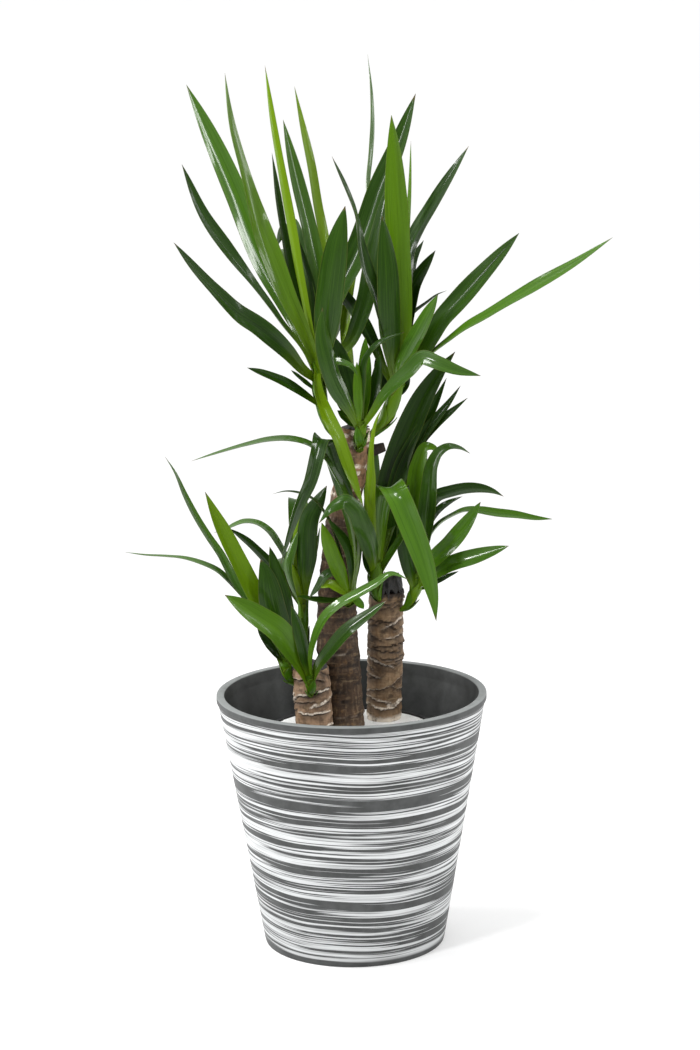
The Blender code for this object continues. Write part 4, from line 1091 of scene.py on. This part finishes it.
class Scars:
    """Leaf scars of one cane: bowed arcs that lap over one another and run out at their ends."""

    def __init__(self, low, high, form):
        draw = np.random.default_rng(form["seed"])
        gap = form["scar_gap"]
        bent = gap * form["slant"]
        self.arcs = []
        height = low + gap * 0.4
        while height < high - gap * 0.2:
            start = draw.uniform(0, 2 * math.pi)
            for number in range(SCAR_ARCS):
                self.arcs.append({
                    "heading": start + number * 2 * math.pi / SCAR_ARCS + draw.uniform(-0.3, 0.3),
                    "height": height + draw.uniform(-0.30, 0.30) * gap,
                    "reach": draw.uniform(*SCAR_REACH),
                    "bow": draw.uniform(-0.9, 1.1) * bent,
                    "tilt": draw.uniform(-0.65, 0.65) * bent,
                    "lift": draw.uniform(*SCAR_LIFT),
                    "pale": draw.uniform(0.1, 1.0) ** 2,
                })
            height += gap * draw.uniform(*SCAR_SPACING)

    def read(self, turn, height, ragged):
        """(relief, pale edge, whole rim, dark crease) at arrays of turns, heights and height offsets. The
        crease is painted shade under the scar.
        """
        relief, edge, ring, crease = np.zeros((4, len(height)))
        for arc in self.arcs:
            off = np.angle(np.exp(1j * (turn - arc["heading"]))) / arc["reach"]
            here = np.clip((1 - np.abs(off)) / SCAR_RUN_OUT, 0, 1)
            above = height - arc["height"] - arc["bow"] * off**2 - arc["tilt"] * off + ragged

            def band(centre, width):
                return here * np.exp(-((above - centre) / width) ** 2)

            step = arc["lift"] * here
            relief += step * np.where(above > 0, np.exp(-above / SCAR_FADE), 0)
            relief -= 0.9 * arc["lift"] * band(*SCAR_UNDERCUT)
            # The pale edge on each scar's ridge: partly torn whitish bark, partly painted highlight
            edge = np.maximum(edge, arc["pale"] * band(0.0012, 0.0008 + 0.0016 * arc["pale"]))
            ring = np.maximum(ring, band(*SCAR_RIM))
            # Painted shade: a dark band in the groove under each scar and a fainter, wider one below it
            crease = np.maximum(crease, np.maximum(band(*SCAR_GROOVE_SHADE), 0.5 * band(*SCAR_SHADE)))
        return relief, edge, ring, crease


def rough(points, scale):
    """Turbulence at each row of points, roughly from -1 to 1."""
    return np.array([noise.fractal(Vector(point) * scale, 1.0, 2.0, 3) for point in points])


def wrapped(turn, radius, height):
    """Points on a tube of that radius, for turbulence that closes round it."""
    return np.stack([np.cos(turn) * radius, np.sin(turn) * radius, height], axis=1)


def foot_of(cane):
    """Where the cane's axis leaves the white layer."""
    path = path_through(CANES[cane]["axis"], FOOT_SEARCH_STEPS)
    return [np.interp(DRESSING_TOP, path[:, 2], path[:, side]) for side in (0, 1)]


def cane_path(cane):
    """The axis, carried on straight down under the white layer, and the radius at each of its points."""
    form = CANES[cane]
    above = [place(station) for station in form["axis"]]
    cells = round(sum((b - a).length for a, b in zip(above, above[1:])) / BARK_RING_STEP)
    path = smooth_path(above, cells)
    keep = path[:, 2] > DRESSING_TOP
    radii = radii_of(form, cells)[keep]
    low = np.linspace(BURIED_BOTTOM, DRESSING_TOP, BURIED_RINGS)
    foot = np.stack([*(np.full_like(low, side) for side in foot_of(cane)), low], axis=1)
    return np.vstack([foot, path[keep]]), np.concatenate([np.full_like(low, radii[0]), radii])


def build_cane(cane, sizes):
    form = CANES[cane]
    top = place(form["axis"][-1]).z
    path, radii = cane_path(cane)
    scars = Scars(DRESSING_TOP, top, form)
    obj = rod(f"bark_{cane}", BARK_SIDES, len(path) - 1)
    read = {}

    def relief(_, turn, height):
        around = wrapped(turn, 0.9, height * BARK_LUMPS_PER_M)
        ragged = SCAR_RAGGED * rough(around * (3.2, 3.2, 1.2), 1.0)
        step, read["edge"], read["ring"], read["crease"] = scars.read(turn, height, ragged)
        lumps = 0.45 * rough(around, 1.6) + 0.35 * rough(wrapped(turn, 7, height * BARK_FIBRES_PER_M), 1.0)
        return ramp(height, DRESSING_TOP, FOOT_BLEND) * (step + sizes.bark_relief * lumps) - BARK_SINK

    _, turn = bend_rod(obj, path, radii, relief)
    height = coordinates(obj)[:, 2]
    foot = np.clip(1.6 - (height - DRESSING_TOP) / FOOT_BLEND, 0, 1) * (height > DRESSING_TOP - 0.002)
    edge = np.clip(read["edge"] * form["whiteness"], 0, 1)
    crease = read["crease"]
    if cane == "tall":
        young = ramp(height, *YOUNG_BARK)
        torn = 0.6 * ramp(height, *TORN_BARK) * np.clip(0.5 - np.cos(turn), 0, 1)
        edge = np.clip(edge + young * read["ring"] + torn, 0, 1)
        foot = np.maximum(foot * 0.3, young)
    if cane == "mid":
        charred = np.clip((height - top + CHAR_DEPTH) / CHAR_BLEND + rough(coordinates(obj), 150.0), 0, 1)
        edge = edge * np.clip(1.2 - (height - DRESSING_TOP) / 0.10, 0.45, 1) * (1 - charred)
        crease = np.maximum(crease, charred)
    paint(obj, "scars", edge, crease, foot)
    if cane == "tall":
        obj = join([obj, build_stub()])
    smooth(obj, 50)
    crust = sizes.bark_young if cane == "tall" else sizes.scar
    finish = bark_finish(f"bark_{cane}", sizes, getattr(sizes, f"bark_{cane}"), crust, form["fibre"])
    name_piece(obj, f"bark_of_{cane}_cane", finish, f"cane_{cane}")


def build_stub():
    """The dark cut side branch near the top of the tallest cane."""
    path = path_through(STUB, STUB_RINGS)
    obj = rod("stub", STUB_RINGS, STUB_RINGS)
    radii = STUB_R * (0.92 - 0.25 * np.clip(np.linspace(-0.4, 1, STUB_RINGS + 1), 0, 1) ** 2)
    bend_rod(obj, path, radii, lambda share, turn, _: STUB_RELIEF * rough(wrapped(turn, 1, share * 3), 1.5))
    paint(obj, "scars", 0, 1, 0)
    return obj


def build_cap(cane):
    """A tarry seal on a sawn top: a lumpy dome with a ragged rim."""
    form = CANES[cane]
    rise, share = form["cap"]
    top = place(form["axis"][-1])
    lean = top - place(form["axis"][-2])
    radius = form["radii"][-1] * MM
    lift = radius * Vector((lean.x, lean.y)).length / lean.z
    deselect_all()
    bpy.ops.mesh.primitive_uv_sphere_add(segments=CAP_SIDES, ring_count=CAP_SIDES // 2, radius=1)
    obj = bpy.context.object
    with editing(obj):
        bpy.ops.mesh.bisect(plane_co=(0, 0, 0.02), plane_no=(0, 0, 1), use_fill=True, clear_inner=True)
    points = coordinates(obj)
    up = points[:, 2]
    lumps = rough(points + form["seed"], 2.2)
    spikes = rough(points + form["seed"], 6.0)
    rim = 1 - np.clip(up / CAP_RIM, 0, 1)
    out = radius * (share + (1.05 - share) * rim) * (0.94 + 0.08 * lumps + 0.08 * spikes)
    height = 0.0006 + rise * np.clip(up * 1.9, 0, 1) * (0.80 + 0.55 * lumps + 0.40 * spikes)
    height = height - rim * rise * (0.30 + 0.9 * np.clip(spikes + lumps, -0.3, 0.6))
    height = top.z + lift + np.minimum(height, rise * 1.08)
    move_points(obj, np.stack([top.x + points[:, 0] * out, top.y + points[:, 1] * out, height], axis=1))
    face_outwards(obj)
    smooth(obj, 60)
    name_piece(obj, f"seal_of_{cane}_cane", seal_finish(), f"cap_{cane}")


# Leafy shoots


def blade_blank():
    """One flat blade, modelled once: a fine grid with two faces and a closed rim."""
    deselect_all()
    bpy.ops.mesh.primitive_grid_add(x_subdivisions=BLADE_CELLS_ACROSS, y_subdivisions=BLADE_CELLS_ALONG,
                                    size=2)
    obj = bpy.context.object
    obj.name = "blade_blank"
    apply_modifier(obj, "two_faces", "SOLIDIFY", thickness=0.5, offset=0.0)
    return obj


def lay_blade(obj, points, width, rolls, segments, reach, look, draw, sizes):
    """Moves a copy of the blank along a leaf's path: channelled, ribbed and ending in a sharp tip."""
    coarse = smooth_path(points, segments, reach)
    path = smooth_path(points, BLADE_CELLS_ALONG, reach)
    wide = across_vectors(coarse, rolls)
    index = np.linspace(0, segments, BLADE_CELLS_ALONG + 1)
    across = read_rows(index, np.arange(segments + 1), wide)
    tangents = tangents_of(path)
    across = unit(across - tangents * np.sum(across * tangents, axis=1)[:, None])
    normals = np.cross(tangents, across)
    coarse_normals = np.cross(tangents_of(coarse), wide)
    up_side = 1.0 if coarse_normals[round(segments * 0.5)][2] >= 0 else -1.0
    run = np.concatenate([[0.0], np.cumsum(np.linalg.norm(np.diff(path, axis=0), axis=1))])
    flat = coordinates(obj)
    row = np.clip(np.rint((flat[:, 1] + 1) * 0.5 * BLADE_CELLS_ALONG).astype(int), 0, BLADE_CELLS_ALONG)
    side = np.clip(flat[:, 0], -1, 1)
    off_rib = np.abs(side)
    along = (run / run[-1])[row]
    half = 0.5 * width * np.maximum(blade_width(along), LEAF_TIP_WIDTH)
    channel = LEAF_CHANNEL * 2 * half * (off_rib**CHANNEL_SHAPE - CHANNEL_SINK)
    ripple = sizes.ripple * np.cos(side * RIB_TURN + draw * 6) * (1 - side**2)
    ripple = ripple * np.clip(half / RIBBED_HALF, 0, 1)
    waver = LEAF_WAVER * half * np.sin(along * 17 + draw * 9 + side * 1.5) * side**2
    thick = sizes.blade_thickness * (0.5 - 0.36 * off_rib**3) * np.clip(half / 0.004, 0.15, 1)
    lift = up_side * (channel + ripple + waver) + np.sign(flat[:, 2]) * thick
    move_points(obj, path[row] + (half * side)[:, None] * across[row] + lift[:, None] * normals[row])
    paint(obj, "look", *look, 0)
    paint(obj, "grid", side * 0.5 + 0.5, along, draw)


def narrowed(share):
    """How much of its full radius a stem has at that share of its length: it tapers to its foot."""
    return STEM_FOOT + (1 - STEM_FOOT) * ramp(share, 0, STEM_FOOT_REACH) ** 0.7


def build_stem(path, radii):
    """The green stem that the blades clasp, swollen a little at each scar."""
    obj = rod("stem", STEM_SIDES, STEM_FINE_STEPS)
    read = {}

    def sheaths(share, turn, _):
        read["wrap"] = (share * SHEATHS + turn / (2 * math.pi) + 0.22 * np.cos(2 * turn)) % 1.0
        thin = (1 - narrowed(share)) * np.interp(share, np.linspace(0, 1, len(radii)), radii)
        return STEM_RING * read["wrap"] ** 1.5 - STEM_SINK - thin

    share, turn = bend_rod(obj, path, radii, sheaths)
    paint(obj, "look", 0.5, 0.0, 1.0)
    paint(obj, "grid", turn / (2 * math.pi) + 0.5, share, read["wrap"])
    return obj


def lay_sheath(obj, path, radii, heading, reach, layer, draw, sizes):
    """Wraps a copy of the blank round a stem as an old leaf's foot: closed below, pointed above."""
    flat = coordinates(obj)
    along = np.clip((flat[:, 1] + 1) * 0.5, 0, 1)
    side = np.clip(flat[:, 0], -1, 1)
    share = reach[0] + (reach[1] - reach[0]) * along
    turn = heading + side * np.maximum(SHEATH_WRAP * (1 - along**1.6), 0.06)
    centre, out = round_path(path, share * (len(path) - 1), turn)
    grown = ramp(along, 0, 0.4)
    lift = SHEATH_LIFT * (1 + layer) * grown - SHEATH_SINK * (1 - grown) + SHEATH_FLARE * along**4
    thick = sizes.blade_thickness * (0.35 - 0.22 * np.abs(side)) * np.sign(flat[:, 2])
    radius = np.interp(share, np.linspace(0, 1, len(radii)), radii) * narrowed(share)
    radius = radius + lift + sizes.ripple * np.cos(side * 16) + thick
    move_points(obj, centre + radius[:, None] * out)
    paint(obj, "look", 0.55 + 0.3 * draw, 0, 0)
    paint(obj, "grid", side * 0.5 + 0.5, SHEATH_TINT[0] + along * SHEATH_TINT[1], draw)


def build_shoot(name, seed, blank, sizes):
    shoot = SHOOTS[name]
    draw = np.random.default_rng(seed + 100)
    stem = path_through(shoot["stem"], STEM_SEGMENTS)
    radii = radii_of(shoot, STEM_SEGMENTS)
    fine_stem = path_through(shoot["stem"], STEM_FINE_STEPS)
    fine_radii = spread(radii, STEM_FINE_STEPS)
    pieces = [build_stem(fine_stem, fine_radii)]

    def grow(points, *form):
        pieces.append(copy_of(blank, "blade"))
        lay_blade(pieces[-1], rooted(points, stem, radii), *form, draw.random(), sizes)

    for entry in shoot["leaves"]:
        points = [place(station) for station in entry["stations"]]
        segments = max(SHORT_LEAF_SEGMENTS, min(LEAF_SEGMENTS, len(points) - 1))
        grow(points, entry["width"], entry["roll"], segments, BEND_REACH, entry["look"])
    heading = draw.uniform(0, 2 * math.pi)
    for number in range(SHEATHS):
        pieces.append(copy_of(blank, "sheath"))
        low = number / SHEATHS * SHEATH_SPAN
        reach = (low, min(low + SHEATH_REACH, 1.0))
        turned = heading + number * SHEATH_TURN
        lay_sheath(pieces[-1], fine_stem, fine_radii, turned, reach, SHEATHS - number, draw.random(), sizes)
    for points, width in far_blades(shoot, seed):
        grow(points, width, (0, 0), FAR_SEGMENTS, 0.0, FAR_LOOK)
    obj = join(pieces)
    face_outwards(obj)
    smooth(obj, 50)
    name_piece(obj, f"leaves_of_{name}", leaf_finish(f"{name}_green", sizes), name)


# Studio


def build_sweep(sizes):
    """Pale paper: a floor that curves up far behind the plant."""
    deselect_all()
    bpy.ops.mesh.primitive_plane_add(size=1, location=(0, 1.5, 0))
    sweep = bpy.context.object
    sweep.name = "studio_sweep"
    bpy.ops.transform.resize(value=(*SWEEP_FLOOR, 1))
    fix_in_mesh(sweep)
    with editing(sweep):
        shape = bmesh.from_edit_mesh(sweep.data)
        far = max(vert.co.y for vert in shape.verts)
        for edge in shape.edges:
            edge.select_set(all(abs(vert.co.y - far) < 1e-4 for vert in edge.verts))
        bmesh.update_edit_mesh(sweep.data)
        bpy.ops.mesh.extrude_region_move(TRANSFORM_OT_translate={"value": (0, 0, SWEEP_RISE)})
    apply_modifier(sweep, "cove", "BEVEL", width=SWEEP_COVE, segments=24, limit_method="ANGLE")
    smooth(sweep, 60)
    give_finish(sweep, paper_finish(sizes))


def paper_finish(sizes):
    """Paper that glows by its own setting round the planter, far behind it and far in front of it."""
    finish = Finish("studio_paper", Roughness=0.9, Emission_Strength=1.0)
    _, x, y, z = finish.place_of()
    away = ((x * x + y * y + z * z) ** 0.5).between(0.5, 3.0)
    far = finish.blend(y.between(-2.5, 0.6), [sizes.front_glow] * 3, [sizes.far_glow] * 3)
    finish.give("Base Color", finish.blend(away, sizes.paper, times(sizes.paper, 0.25)))
    finish.give("Emission Color", finish.blend(away, [sizes.glow] * 3, far))
    # The glow is met by chance and not aimed at, which halves the time of a picture
    finish.material.cycles.emission_sampling = "NONE"
    return finish.material


def light_studio(sizes):
    world = bpy.data.worlds.new("studio_air")
    bpy.context.scene.world = world
    world.use_nodes = True
    air = world.node_tree.nodes["Background"]
    air.inputs["Color"].default_value = (1.0, 0.995, 0.98, 1.0)
    air.inputs["Strength"].default_value = sizes.air
    aim = Vector(LAMP_AIM)
    boxes = [
        ("key_box", (-1.8, -2.1, 2.4), (0.40, 0.90), sizes.key),
        ("fill_box", (2.1, -1.7, 2.0), (0.42, 1.3), sizes.fill),
        ("top_box", (-0.75, -0.45, 3.0), (1.0, 0.6), sizes.top),
        ("left_strip", (-2.3, 0.5, 1.4), (0.60, 1.7), sizes.strips * 2),
        ("right_strip", (2.3, 0.5, 1.4), (0.35, 1.7), sizes.strips),
    ]
    for name, where, size, power in boxes:
        lamp = bpy.data.lights.new(name, "AREA")
        lamp.shape = "RECTANGLE"
        lamp.size, lamp.size_y = size
        lamp.energy = power
        obj = bpy.data.objects.new(name, lamp)
        obj.location = where
        obj.rotation_euler = (aim - Vector(where)).to_track_quat("-Z", "Y").to_euler()
        bpy.context.scene.collection.objects.link(obj)
    bpy.context.scene.view_settings.view_transform = "Standard"


def place_camera():
    view = bpy.data.cameras.new("photo_camera")
    view.sensor_fit = "VERTICAL"
    view.sensor_height = 36.0
    view.lens = CAMERA_FOCUS_PX / PHOTO_HEIGHT * view.sensor_height
    camera = bpy.data.objects.new("photo_camera", view)
    turn = Matrix.Rotation(math.radians(90) - CAMERA_DIP, 4, "X") @ Matrix.Rotation(CAMERA_ROLL, 4, "Z")
    camera.matrix_world = Matrix.Translation(CAMERA_PLACE) @ turn
    bpy.context.scene.collection.objects.link(camera)
    bpy.context.scene.camera = camera


# Settings, operators and panel


def colour(name, description, value):
    return FloatVectorProperty(name=name, description=description, default=value, size=3, min=0.0, max=1.0,
                               subtype="COLOR")


def amount(name, description, value, low, high, **kind):
    return FloatProperty(name=name, description=description, default=value, min=low, max=high, **kind)


def length(name, description, value, low, high):
    return amount(name, description, value, low, high, unit="LENGTH")


def power(name, description, value):
    return amount(name, description, value, 0.0, 2000.0, subtype="POWER")


class YuccaPlanterSettings(bpy.types.PropertyGroup):
    charcoal: colour("Charcoal", "Ground colour of the planter", (0.035, 0.037, 0.0365))
    streak: colour("Streak", "Colour of the brushed streaks", (0.71, 0.725, 0.73))
    streak_cover: amount("Streak cover", "Lower values cover more of the wall", -0.003, -0.2, 0.2)
    lip_round: length("Edge rounding", "Radius of the lip's and foot's edges", 0.0014, 0.0002, 0.004)


class YuccaBarkSettings(bpy.types.PropertyGroup):
    bark_dark: colour("Dark bark", "Darkest bark between the scars", (0.040, 0.023, 0.012))
    # Light fibre also serves as the painted highlight on the bark plates
    bark_light_and_highlight: colour("Light fibre", "Raised fibres of the bark", (0.42, 0.30, 0.17))
    bark_rust: colour("Rust", "Ochre patches where the skin has worn off", (0.21, 0.115, 0.045))
    crease: colour("Crease", "Shadowed cracks in the bark", (0.018, 0.011, 0.007))
    # Scar is also the colour of the painted highlight on the scar ridges
    scar: colour("Scar", "Torn whitish edge of a leaf scar", (0.86, 0.76, 0.64))
    bark_tall: colour("Tall cane", "Bark of the tallest cane", (0.075, 0.040, 0.019))
    bark_mid: colour("Middle cane", "Bark of the middle cane", (0.26, 0.165, 0.090))
    bark_short: colour("Short cane", "Bark of the lowest cane", (0.34, 0.215, 0.130))
    bark_young: colour("Young bark", "Smooth warm bark near the tallest cane's top", (0.30, 0.165, 0.085))
    bark_relief: length("Bark relief", "Height of the bark's lumps", 0.0014, 0.0, 0.003)


class YuccaLeafSettings(bpy.types.PropertyGroup):
    # Darker greens stand partly for painted shade on blades in shadow, not only for older blades
    dark: colour("Dark green", "Old blades", (0.004, 0.015, 0.001))
    dark_warm: colour("Warm dark green", "Patches on old blades", (0.011, 0.040, 0.001))
    mid: colour("Green", "Middle-aged blades", (0.027, 0.088, 0.002))
    bright: colour("Bright green", "Lit veins and young blades", (0.064, 0.162, 0.002))
    lime: colour("Lime", "Youngest blades and every blade's foot", (0.125, 0.220, 0.003))
    # Silver is a painted sheen on glossy blades
    silver: colour("Silver", "Painted sheen", (0.16, 0.24, 0.13))
    margin: colour("Margin", "Thin rough edge of a blade", (0.10, 0.12, 0.02))
    tip: colour("Tip", "Dry tip of a blade", (0.10, 0.06, 0.025))
    stem: colour("Stem", "Shoot stems", (0.120, 0.165, 0.010))
    blade_thickness: length("Blade thickness", "Thickness along the middle of a blade",
                            0.0013, 0.0005, 0.0024)
    ripple: length("Rib height", "Height of the ribs along a blade", 0.00028, 0.0, 0.001)


class YuccaStageSettings(bpy.types.PropertyGroup):
    paper: colour("Paper", "Colour of the floor and backdrop", (0.80, 0.80, 0.80))
    air: amount("Air", "Brightness of the surrounding light", 0.09, 0.0, 5.0)
    glow: amount("Floor glow", "Light that the paper gives off round the planter", 0.20, 0.0, 2.0)
    far_glow: amount("Backdrop glow", "Light that the paper gives off far away", 0.80, 0.0, 2.0)
    front_glow: amount("Front glow", "Light that the paper gives off far in front", 0.20, 0.0, 2.0)
    key: power("Key box", "Power of the left softbox", 48.0)
    fill: power("Fill box", "Power of the right softbox", 26.0)
    top: power("Top box", "Power of the overhead softbox", 50.0)
    strips: power("Side strips", "Power of each narrow box beside the plant", 15.0)


class YUCCA_OT_planter(bpy.types.Operator):
    """Build the streaked planter with its rounded lip and foot"""

    bl_idname = "yucca.planter"
    bl_label = "Planter"

    def execute(self, context):
        build_planter(context.scene.yucca_planter)
        return {"FINISHED"}


class YUCCA_OT_fillings(bpy.types.Operator):
    """Finish the nursery pot, the soil and the white layer, whose shapes stay as they are"""

    bl_idname = "yucca.fillings"
    bl_label = "Nursery pot, soil and white layer"

    def execute(self, context):
        give_finish(frame["nodes"]["grow_pot"], nursery_finish())
        give_finish(frame["nodes"]["soil"], soil_finish())
        give_finish(frame["nodes"]["white_dressing"], dressing_finish())
        return {"FINISHED"}


class YUCCA_OT_canes(bpy.types.Operator):
    """Build the bark of the three canes, with its leaf-scar rings"""

    bl_idname = "yucca.canes"
    bl_label = "Canes"

    def execute(self, context):
        for cane in CANES:
            build_cane(cane, context.scene.yucca_bark)
        return {"FINISHED"}


class YUCCA_OT_seals(bpy.types.Operator):
    """Build the dark seals on the sawn tops of the canes"""

    bl_idname = "yucca.seals"
    bl_label = "Cane seals"

    def execute(self, context):
        for cane in CANES:
            build_cap(cane)
        return {"FINISHED"}


class YUCCA_OT_shoots(bpy.types.Operator):
    """Build the leafy shoots, blade by blade"""

    bl_idname = "yucca.shoots"
    bl_label = "Leafy shoots"

    def execute(self, context):
        blank = blade_blank()
        for number, name in enumerate(SHOOTS):
            build_shoot(name, FAR_SEED + number, blank, context.scene.yucca_leaf)
        bpy.data.objects.remove(blank, do_unlink=True)
        return {"FINISHED"}


class YUCCA_OT_stage(bpy.types.Operator):
    """Set up the pale sweep, the softboxes and the camera of the photograph"""

    bl_idname = "yucca.stage"
    bl_label = "Studio"

    def execute(self, context):
        build_sweep(context.scene.yucca_stage)
        light_studio(context.scene.yucca_stage)
        place_camera()
        return {"FINISHED"}


SETTINGS = {
    "yucca_planter": YuccaPlanterSettings,
    "yucca_bark": YuccaBarkSettings,
    "yucca_leaf": YuccaLeafSettings,
    "yucca_stage": YuccaStageSettings,
}
OPERATORS = (YUCCA_OT_planter, YUCCA_OT_fillings, YUCCA_OT_canes, YUCCA_OT_seals, YUCCA_OT_shoots,
             YUCCA_OT_stage)


class YUCCA_PT_panel(bpy.types.Panel):
    """The potted yucca's sizes, colours and building steps"""

    bl_idname = "YUCCA_PT_panel"
    bl_label = "Potted yucca"
    bl_space_type = "VIEW_3D"
    bl_region_type = "UI"
    bl_category = "Yucca"

    def draw(self, context):
        for key, group in SETTINGS.items():
            box = self.layout.box()
            held = getattr(context.scene, key)
            for field in group.__annotations__:
                box.prop(held, field)
        for operator in OPERATORS:
            self.layout.operator(operator.bl_idname)


CLASSES = (*SETTINGS.values(), *OPERATORS, YUCCA_PT_panel)


def register():
    for group in CLASSES:
        bpy.utils.register_class(group)
    for key, group in SETTINGS.items():
        setattr(bpy.types.Scene, key, PointerProperty(type=group))


def unregister():
    for key in SETTINGS:
        delattr(bpy.types.Scene, key)
    for group in reversed(CLASSES):
        bpy.utils.unregister_class(group)


def main():
    register()
    bpy.ops.yucca.planter()
    bpy.ops.yucca.fillings()
    bpy.ops.yucca.canes()
    bpy.ops.yucca.seals()
    bpy.ops.yucca.shoots()
    bpy.ops.yucca.stage()


if __name__ == "__main__":
    main()
